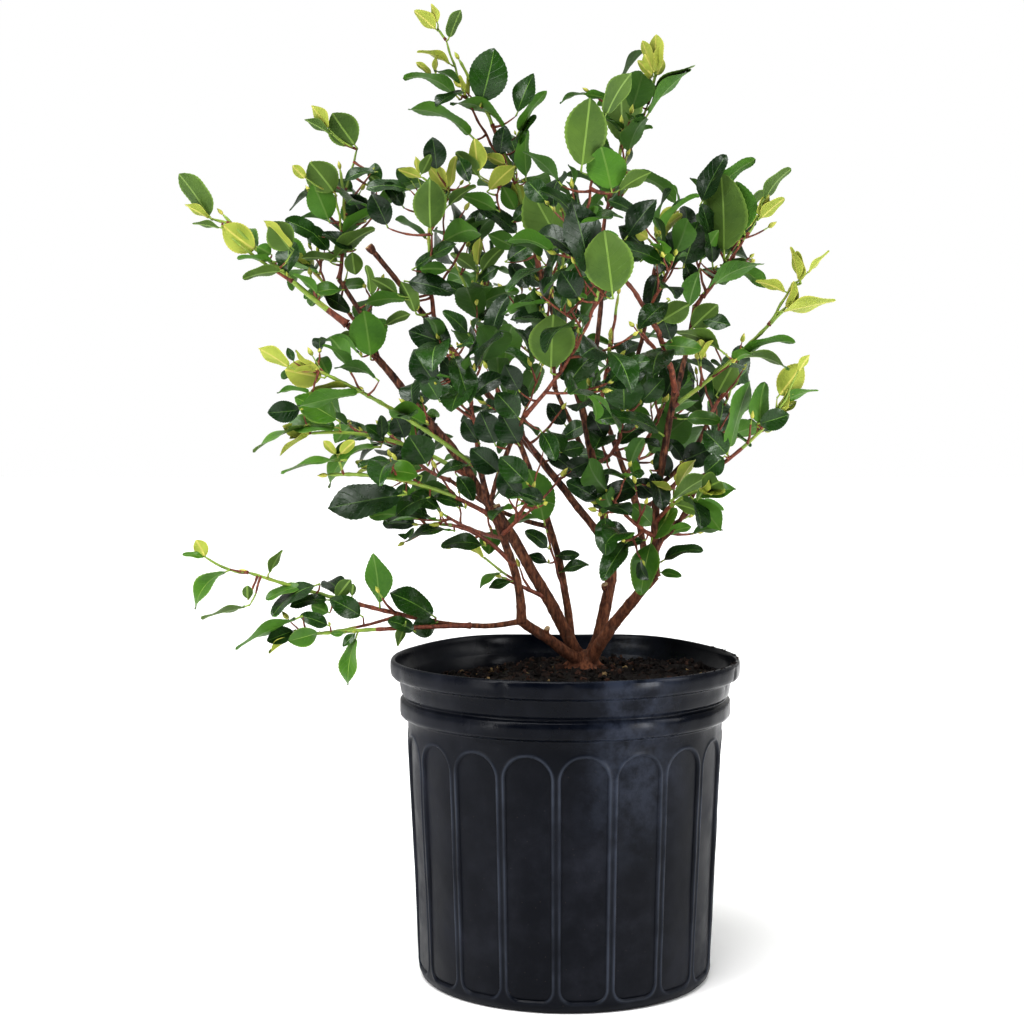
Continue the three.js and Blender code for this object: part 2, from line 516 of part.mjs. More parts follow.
// A mass of foliage as one closed skin. A shoot is a three-sided tube with a ring at each node. Where a node
// bears a leaf or a twig, a small triangle is left out of the tube's flat side, and the skin of the leaf or twig
// starts there.
function grown(mass, index) {
  const corners = [];
  const faces = [];
  const filled = [];
  const add = (point) => corners.push(point) - 1;
  const skin = (...corner) => faces.push(...corner);

  // Joins a triangle that was left out to the ring ahead of it. The ring is turned so that the edges between the
  // two are shortest, which keeps the skin from folding through itself.
  function join(base, ring) {
    const edges = (shift) =>
      base.reduce((sum, c, i) => {
        const ends = [ring[(i + shift) % 3], ring[(i + shift + 1) % 3]];
        return ends.reduce((total, end) => total + corners[c].distanceToSquared(corners[end]), sum);
      }, 0);
    const shift = [0, 1, 2].reduce((best, s) => (edges(s) < edges(best) ? s : best));
    band(base, base.map((_, i) => ring[(i + shift) % 3]));
  }

  function addLeaf(base, leaf) {
    const corner = LEAF_CORNERS.map((place) => add(leafPoint(leaf, ...place)));
    join(base, corner.slice(0, 3));
    skin(...LEAF_SKIN.map((i) => corner[i]));
  }

  function ringAt(path, t) {
    const radius = path.girth[0] + (path.girth[1] - path.girth[0]) * t;
    const [side, rise] = across(path, t);
    const centre = along(path, t);
    return [0, 1, 2].map((i) => {
      const turn = (TURN * i) / SHOOT.sides;
      const out = side.clone().multiplyScalar(Math.sin(turn)).addScaledVector(rise, Math.cos(turn));
      return add(centre.clone().addScaledVector(out, radius));
    });
  }

  // The first of some leaves or twigs that has room and crosses nothing that the mass already holds. It is then held.
  function placed(candidates, pointsOf, solidOfOne) {
    const one = candidates.find((candidate) => {
      if (!hasRoom(pointsOf(candidate), index)) return false;
      const solid = solidOfOne(candidate);
      const { min, max } = solid.boundingBox();
      const clear = filled.every((other) => {
        const apart = [0, 1, 2].some((i) => other.min[i] > max[i] || other.max[i] < min[i]);
        return apart || solid.intersect(other.solid).isEmpty();
      });
      if (clear) filled.push({ solid, min, max });
      return clear;
    });
    if (one) taken.push(...pointsOf(one));
    return one;
  }

  // What a node bears if there is room: a twig or a leaf. The foot of a stem is bare.
  function borne(node, shoot, path, bearsTwig) {
    if (bearsTwig) return { twig: placed(twigsAt(node, mass, index, path), pointsOfTwig, twigSolid) };
    if (shoot === 0 && node.share < LEAF.first) return {};
    return { leaf: placed(leavesAt(node, index, shoot), pointsOfLeaf, leafSolid) };
  }

  // Joins two rings of a shoot. With a flat given, it leaves a triangle out of that side and returns it.
  function band(ring, ahead, flat, share) {
    let seat;
    [0, 1, 2].forEach((i) => {
      const [a, b, c, d] = [ring[i], ring[(i + 1) % 3], ahead[(i + 1) % 3], ahead[i]];
      if (i !== flat) return skin(a, b, c, a, c, d);
      const near = corners[a].clone().add(corners[b]);
      const middle = add(near.lerp(corners[c].clone().add(corners[d]), share).multiplyScalar(0.5));
      skin(b, c, middle, c, d, middle, d, a, middle);
      seat = [a, b, middle];
    });
    return seat;
  }

  function addShoot(base, path, shoot) {
    const nodes = nodesOf(path, index, shoot, shoot === 0 ? 0.06 : TWIG.first);
    const rate = shoot === 0 ? mass.twigs / nodes.length : 0;
    const bearing = nodes
      .map((node, k) => ({ ...node, ...borne(node, shoot, path, Math.floor((k + 1) * rate) > Math.floor(k * rate)) }))
      .filter(({ leaf, twig }) => leaf || twig);
    const { out } = nodes.at(-1);
    const end = { k: nodes.length, share: 1, out, heading: heading(path, 1), root: path.tip };
    const last = borne(end, shoot, path, false).leaf;

    const length = path.tip.distanceTo(path.foot);
    const stops = [...bearing.map(({ t }) => t), 1];
    let ring = ringAt(path, base ? Math.min(0.6 * stops[0], 5 / length) : 0);
    if (base) join(base, ring);
    else skin(ring[2], ring[1], ring[0]);
    stops.forEach((t, k) => {
      const ahead = ringAt(path, t);
      const behind = bearing[k - 1];
      const share = behind ? Math.min(SHOOT.seat / ((t - behind.t) * length), 0.5) : 0;
      const seat = band(ring, ahead, behind?.flat, share);
      if (behind) behind.seat = seat;
      ring = ahead;
    });
    if (last) addLeaf(ring, last);
    else skin(...ring);
    for (const { seat, leaf, twig, k } of bearing) {
      if (leaf) addLeaf(seat, leaf);
      else addShoot(seat, twig, k + 1);
    }
  }

  const stem = tube(stems[index], 4, 4, 0.2);
  filled.push({ solid: stem, ...stem.boundingBox() });
  addShoot(undefined, stems[index], 0);
  return solidFrom(corners.flatMap((c) => c.toArray()), faces);
}

const plant = new THREE.Group();
plant.add(meshOf("pot", potSolid(), potPlastic));
plant.add(meshOf("soil", soilSolid(), pottingSoil));
plant.add(meshOf("root_crown", crownSolid(), bark));

// Each limb is cut clear of the limbs that it forks from or passes.
const cutters = [crownSolid(GAP)];
for (const [name, limb] of Object.entries(limbs)) {
  const steps = Math.max(2, Math.round(limb.foot.distanceTo(limb.tip) / 45));
  const sides = limb.girth[0] > 2.5 ? 7 : 5;
  plant.add(meshOf(name, wasm.Manifold.difference([tube(limb, sides, steps), ...cutters]), bark));
  cutters.push(tube(limb, sides, steps, GAP));
}

// Each mass is cut clear of every limb.
names.forEach((name, index) => {
  plant.add(meshOf(name, wasm.Manifold.difference([grown(MASSES[name], index), ...cutters]), foliage));
});

export default plant;
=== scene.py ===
"""A camellia shrub in its moulded nursery pot: bark, twigs, leaves, buds, potting mix and pot, in metres,
+Z up. Sizes are in millimetres up to the moment when a mesh is made."""

import math

import bpy
import numpy as np
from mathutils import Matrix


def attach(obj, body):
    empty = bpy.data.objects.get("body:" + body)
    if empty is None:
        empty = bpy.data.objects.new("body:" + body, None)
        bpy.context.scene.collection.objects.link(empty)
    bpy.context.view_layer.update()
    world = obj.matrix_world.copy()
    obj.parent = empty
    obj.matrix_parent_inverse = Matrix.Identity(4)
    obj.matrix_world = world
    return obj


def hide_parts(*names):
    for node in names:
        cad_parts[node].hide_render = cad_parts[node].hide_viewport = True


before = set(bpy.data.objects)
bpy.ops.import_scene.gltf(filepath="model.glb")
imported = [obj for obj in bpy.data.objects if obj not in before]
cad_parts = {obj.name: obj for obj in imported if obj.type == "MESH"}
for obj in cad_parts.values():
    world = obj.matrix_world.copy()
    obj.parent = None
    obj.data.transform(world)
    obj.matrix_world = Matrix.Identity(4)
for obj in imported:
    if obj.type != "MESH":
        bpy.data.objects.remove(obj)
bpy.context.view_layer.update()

# ---------------------------------------------------------------- driving sizes

MM = 0.001
TURN = 2 * math.pi
UP = np.array([0.0, 0.0, 1.0])
SEED = 4.7
SENSOR = 36  # the camera's sensor, in millimetres

# The pot: its wall's profile as [radius, height], from the middle of its underside up the outside, over the
# lip and down the inside to the soil's depth.
POT_BASE = [[0, 0], [40, 0], [80, 0], [103.4, 0], [108, 0.6], [109.8, 2.4], [111.2, 6]]
POT_NECK = [
    [119.4, 196], [119.7, 197], [121.4, 198], [123.6, 198.8], [125, 200.4], [125.3, 202],
    [125.3, 206.5], [125.2, 210.6], [124.4, 211.7], [122.6, 212.3], [122.1, 213], [122.5, 214],
    [123.6, 215.4], [124.4, 217], [125.2, 222], [125.6, 226], [126.2, 227.3], [128, 227.9],
    [130.4, 228.6], [131.8, 230.2], [132.4, 232.4], [132.6, 236], [132.5, 239.4], [132, 241],
    [131, 241.9], [129.8, 241.8], [129.1, 240.6], [128.8, 238], [128.4, 235.6], [127, 231.5],
    [124.6, 228.8], [123.6, 227], [122.8, 218], [122.2, 215], [120.8, 213.4], [120.2, 212.3],
    [121.4, 211.2], [122.8, 210], [123, 206.5], [122.8, 203], [121.4, 200.4], [118.8, 198], [118, 196],
]
POT_INSIDE = [[116, 150], [113, 80], [111, 12], [108, 5], [60, 4], [0, 4]]
FLUTE = {
    "count": 18, "turned": 5.5, "width": 34.5, "depth": 2.5, "slope": 1.5, "top": 186, "foot": 8,
    "corner": 10, "radius": 117, "bead": 0.55,
}
POT_RIM = {"radius": 132.5, "height": 242}
LIP_DENTS = [[-111, 2.6], [-90.5, 2.2], [-20, 2.4], [-4, 2.0]]  # angle in degrees and depth
LIP_RISES = [148, 212]  # where the lip stands a little higher, in degrees from the front
LIP_RISE = 2.6

SOIL = {"radius": 120.6, "crown": 229.7, "edge": 220.5, "rise": 4, "seat": 24, "sides": 120}
# The soil's wall, under its top, as [radius, height].
SOIL_WALL = [[119.6, 214], [118.2, 211.5], [115.2, 196], [112.6, 150], [110.0, 80], [107.6, 14], [60, 8]]
HEAP = {"x": 88, "y": 18, "wide": 30, "deep": 44, "rise": 6.5}  # where the soil is heaped up
CHIPS = {"count": 2600, "long": [2.2, 8.5], "flat": [0.16, 0.42], "shares": [0.52, 0.3, 0.15, 0.03]}
# Crumbs that lie on the lip: from and to which angle in degrees, radius and height.
CRUMBS = {
    "count": 26, "long": [1.4, 3.0], "angle": [38, 118], "radius": [129.6, 131.6], "height": [241.8, 242.6],
}

CROWN = {"x": 15, "y": 28, "z": 230, "flare": 17, "waist": 10.5, "height": 15, "rows": 16, "sides": 40}

# The rule of growth, as the solids have it, and what this script adds: finer twigs and terminal shoots.
SHOOT = {"spacing": 10, "girth": 1.7, "tip": 1.1, "short": 0.78}
TWIG = {
    "share": 0.66, "tip": 0.75, "angle": 52, "sag": 0.06, "first": 0.24, "shortest": 18,
    "lengths": [1, 0.8, 0.62, 0.45],
}
TWIGLET = {
    "reach": 30, "angle": 46, "spacing": 9, "apart": 22, "apart_behind": 10, "behind": 30, "lift": 0.2,
    "sag": 0.04, "thick": 0.75, "thin": 0.6, "leaf": 0.86, "green": 0.3,
}
LEAF = {
    "length": 50, "width": 0.6, "first": 0.2, "spread": 68, "closing": 36, "lift": 0.12, "roll": 38,
    "jitter": 0.9, "sizes": [1, 0.82, 0.66],
}
ROOM = {"margin": 1.2, "limb": 2.2, "foliage": 3.6, "finer": 2.6, "most": 60000}
BLADE = {"stalk": 0.09, "width": 0.58, "thick": 0.42, "rib": 0.9, "groove": 0.25}
# Leading leaves. A negative lean is towards the eye, as a share of the length, and varies by the spread.
# The usual breadth is a share of the length, and a leaf that stands edge on or shows no more than slim
# units of breadth has the edge or narrow share of it. A foot hangs clear of its carrier, further out the
# further off it shows, and further still where the leaf shows more than broad units, but never nearer than
# nearest. A leaf is longer than its run, since it bends. Under the eye level one that stands edge on turns
# its upper side to the front.
LEADER = {
    "clear": 1, "out": 0.4, "longer": 1.04,
    "lean": {"under": -0.12, "upper": -0.16, "edge": -0.25}, "spread": 0.16, "breadth": 0.56, "edge": 0.75,
    "slim": 9, "narrow": 0.85, "broad": 28, "broad_out": 0.8, "nearest": -165, "eye_level": 420,
}
# Twigs that carry a leading leaf or a spray, and the sprays' own tips.
CARRY = {"shortest": 1.5, "sag": 0.08, "thicker": 0.012, "thin": 0.55, "spray_sag": 0.03, "spray_tip": 0.8}
GREENNESS = {"young": 1.0, "fresh": 0.6, "mature": 0.2, "old": 0.0}
YOUNG = {"length": 24, "spread": 24, "leaves": 3}
BUD = {"length": 7.5, "radius": 1.7}

# Stems and boughs: [foot or (limb, share), tip, bow, thick, thin].
LIMBS = {
    "stem_left_low": [[12, 24, 236], [-33, -8, 270], [-2, -2, 0], 4.4, 3.6],
    "stem_left_main": [[11, 27, 238], [-165, 10, 494], [13, 0, 0], 5, 2.4],
    "stem_centre_low": [[21, 32, 238], [35, 45, 323], [7, 0, 0], 4.8, 4.1],
    "stem_right_low": [[20, 24, 236], [68, -5, 304], [-3, 0, 0], 5, 3.7],
    "bough_low_left": [("stem_left_low", 1), [-97, -24, 271], [0, 0, -3], 2.1, 1.7],
    "stem_left_high": [("stem_left_low", 1), [-57, -36, 357], [6, 0, 0], 3.4, 2.7],
    "bough_left_inner": [("stem_left_high", 1), [-65, -52, 397], [0, 0, 0], 2.5, 2],
    "bough_front": [("stem_left_high", 1), [-31, -80, 426], [-3, -6, 0], 1.9, 1.5],
    "bough_left_top": [("stem_left_main", 0.9), [-173, 30, 529], [4, 0, 0], 2, 1.6],
    "bough_back_left": [("stem_left_main", 0.04), [-51, 110, 437], [9, -5, 4], 3, 1.9],
    "bough_back_left_low": [("bough_back_left", 0.45), [-90, 95, 372], [0, 4, -6], 1.9, 1.5],
    "stem_centre_high": [("stem_centre_low", 1), [-19, 45, 536], [6, 0, 0], 3.4, 2.2],
    "bough_crossing": [("stem_centre_low", 1), [-97, 12, 488], [-2, 0, 4], 3, 2],
    "bough_top_right": [("stem_centre_high", 0.5), [30, 62, 563], [6, 5, 0], 2.1, 1.6],
    "bough_back_middle": [("stem_centre_high", 0.22), [-5, 125, 446], [4, 8, -8], 2.2, 1.7],
    "stem_right_high": [("stem_right_low", 1), [81, -22, 441], [-5, 0, 0], 3.3, 2.4],
    "bough_back_right": [("stem_right_low", 0.93), [30, 75, 430], [5, 0, 0], 2.7, 1.9],
    "bough_back_right_low": [("bough_back_right", 0.4), [108, 82, 392], [0, 6, -8], 1.9, 1.5],
    "bough_right_side": [("stem_right_high", 0.17), [100, -22, 379], [3, 0, -4], 1.9, 1.5],
    "bough_right_middle": [("stem_right_high", 0.5), [110, 8, 425], [4, 0, -4], 1.8, 1.5],
    "bough_right_top": [("stem_right_high", 0.86), [99, 20, 507], [2, 4, 0], 2.2, 1.7],
    "bough_upper_middle": [("bough_back_right", 0.9), [64, 30, 505], [4, -2, 0], 1.8, 1.5],
}

# Masses of foliage: [(bough, share), tip, bow, longest side twig, side twigs, lift, greenness of its
# shoots].
MASSES = {
    "leaves_low_left": [("bough_low_left", 1), [-272, -42, 322], [0, 0, -2], 34, 5, -0.1, 0.6],
    "leaves_low_left_under": [("bough_low_left", 0.6), [-236, -60, 262], [0, -8, 2], 34, 5, 0, 0.5],
    "leaves_low_centre": [("stem_left_main", 0.18), [-80, -8, 318], [0, 0, 0], 26, 2, 0.22, 0.1],
    "leaves_left_fringe": [("stem_left_high", 0.5), [-128, -66, 346], [0, 0, 8], 34, 4, 0.1, 0.2],
    "leaves_left_shoot_low": [("stem_left_high", 0.92), [-206, -108, 382], [0, 0, 10], 36, 5, 0.22, 0.8],
    "leaves_left_shoot_middle": [("stem_left_main", 0.54), [-228, -30, 408], [0, 0, 12], 44, 5, 0.22, 0.9],
    "leaves_left_shoot_high": [("bough_left_inner", 0.7), [-212, -95, 473], [0, 0, 5], 36, 4, 0.22, 1.0],
    "leaves_left_inner": [("bough_left_inner", 1), [-98, -86, 500], [4, 0, 0], 66, 6, 0.22, 0.2],
    "leaves_left_under": [("stem_left_main", 0.36), [-124, 66, 366], [0, 0, -4], 50, 4, 0.22, 0.1],
    "leaves_centre_low": [("stem_left_high", 0.78), [-14, -92, 404], [0, 0, -6], 54, 5, 0.22, 0.1],
    "leaves_far_left": [("stem_left_main", 1), [-284, 0, 604], [0, 0, -4], 38, 5, 0.15, 0.9],
    "leaves_left_between": [("bough_left_top", 0.2), [-220, 66, 566], [0, 6, 0], 46, 5, 0.22, 0.5],
    "leaves_left_top": [("bough_left_top", 1), [-180, 52, 652], [4, 0, 0], 56, 6, 0.22, 0.8],
    "leaves_back_left": [("bough_back_left", 1), [-102, 150, 580], [6, 0, -4], 80, 6, 0.22, 0.2],
    "leaves_back_left_low": [("bough_back_left_low", 1), [-160, 130, 436], [0, 0, -6], 60, 5, 0.22, 0.1],
    "leaves_upper_left": [("bough_crossing", 1), [-96, 14, 622], [-4, 0, 0], 76, 6, 0.22, 0.5],
    "leaves_crossing": [("bough_crossing", 0.42), [-52, -58, 462], [0, 0, -4], 66, 5, 0.22, 0.1],
    "leaves_top_left": [("stem_centre_high", 1), [-100, 20, 728], [8, 0, 0], 50, 6, 0.22, 0.9],
    "leaves_upper_centre": [("stem_centre_high", 0.72), [-4, -26, 592], [0, -6, 0], 72, 6, 0.22, 0.5],
    "leaves_top_right": [("bough_top_right", 1), [66, 50, 706], [-2, 0, 0], 50, 6, 0.22, 0.7],
    "leaves_back_middle": [("bough_back_middle", 1), [-8, 165, 588], [0, 6, -4], 80, 6, 0.22, 0.2],
    "leaves_front": [("bough_front", 1), [27, -140, 548], [8, 0, 0], 70, 6, 0.22, 0.1],
    "leaves_front_right": [("stem_right_high", 1), [-22, -120, 580], [14, -8, 0], 66, 6, 0.22, 0.2],
    "leaves_centre": [("stem_centre_high", 0.3), [40, -34, 456], [6, 0, -6], 66, 5, 0.22, 0.1],
    "leaves_centre_right": [("stem_right_high", 0.22), [12, -64, 394], [0, 0, -4], 50, 5, 0.22, 0.1],
    "leaves_inner_right": [("bough_back_right", 0.6), [92, 56, 470], [0, 0, -4], 60, 5, 0.22, 0.1],
    "leaves_upper_middle": [("bough_upper_middle", 1), [78, 18, 594], [0, 0, 0], 68, 5, 0.22, 0.4],
    "leaves_back_right": [("bough_back_right", 1), [52, 128, 560], [0, 6, -4], 78, 6, 0.22, 0.2],
    "leaves_back_right_low": [("bough_back_right_low", 1), [150, 112, 480], [0, 0, -5], 62, 6, 0.22, 0.2],
    "leaves_right_top": [("bough_right_top", 1), [154, 36, 600], [0, 0, -3], 62, 6, 0.22, 0.6],
    "leaves_right_middle": [("bough_right_middle", 1), [146, 20, 506], [0, 0, -3], 52, 5, 0.22, 0.3],
    "leaves_right_shoot": [("stem_right_high", 0.93), [184, -60, 532], [0, 0, -4], 30, 4, 0.22, 1.0],
    "leaves_right_side": [("bough_right_side", 1), [178, -42, 454], [0, 0, -4], 42, 5, 0.32, 0.5],
    "leaves_right_fringe": [("stem_right_high", 0.12), [126, 34, 352], [0, 0, 6], 38, 4, 0.05, 0.2],
    "leaves_front_right_low": [("stem_right_high", 0.3), [114, -96, 378], [0, 0, 4], 36, 4, 0.22, 0.7],
}

# Where things stand in the front view, whose picture is 1024 across and 1024 down from its top left corner.

# Shoots that stand clear of the crown: foot across and down, tip across and down, radius, greenness, and
# how much further back than its foot the tip is.
SPRAYS = [
    [402, 618, 320, 633, 1.2, 0.5, -8],
    [514, 583, 484, 557, 0.9, 0.8, -10],
    [562, 596, 546, 528, 1.2, 0.1, 0],
    [508, 186, 466, 98, 1.4, 0.1, -4],
    [466, 98, 446, 40, 1.1, 1.0, -2],
    [446, 40, 438, 29, 0.8, 1.0, -1],
    [463, 97, 436, 78, 0.8, 1.0, -2],
    [620, 196, 648, 104, 1.5, 0.1, -6],
    [578, 236, 597, 150, 1.3, 0.1, -4],
    [432, 236, 450, 190, 0.9, 0.9, -8],
    [402, 286, 432, 234, 1.3, 0.1, -6],
    [702, 298, 746, 236, 1.6, 0.1, -10],
    [746, 236, 760, 214, 1.2, 0.9, -2],
    [762, 318, 792, 284, 1.2, 1.0, -4],
    [655, 240, 640, 262, 0.9, 0.9, 0],
    [479, 300, 478, 268, 1.0, 0.9, -4],
    [383, 190, 357, 149, 1.0, 0.9, -2],
    [341, 240, 335, 192, 1.0, 0.8, -2],
    [224, 232, 210, 218, 1.0, 0.9, -2],
    [290, 285, 232, 238, 1.3, 0.6, -4],
    [345, 458, 337, 454, 0.8, 1.0, -2],
    [652, 540, 676, 492, 1.1, 1.0, -10],
    [515, 115, 507, 165, 1.2, 0.0, -2],
    [507, 165, 497, 195, 1.3, 0.0, -2],
]

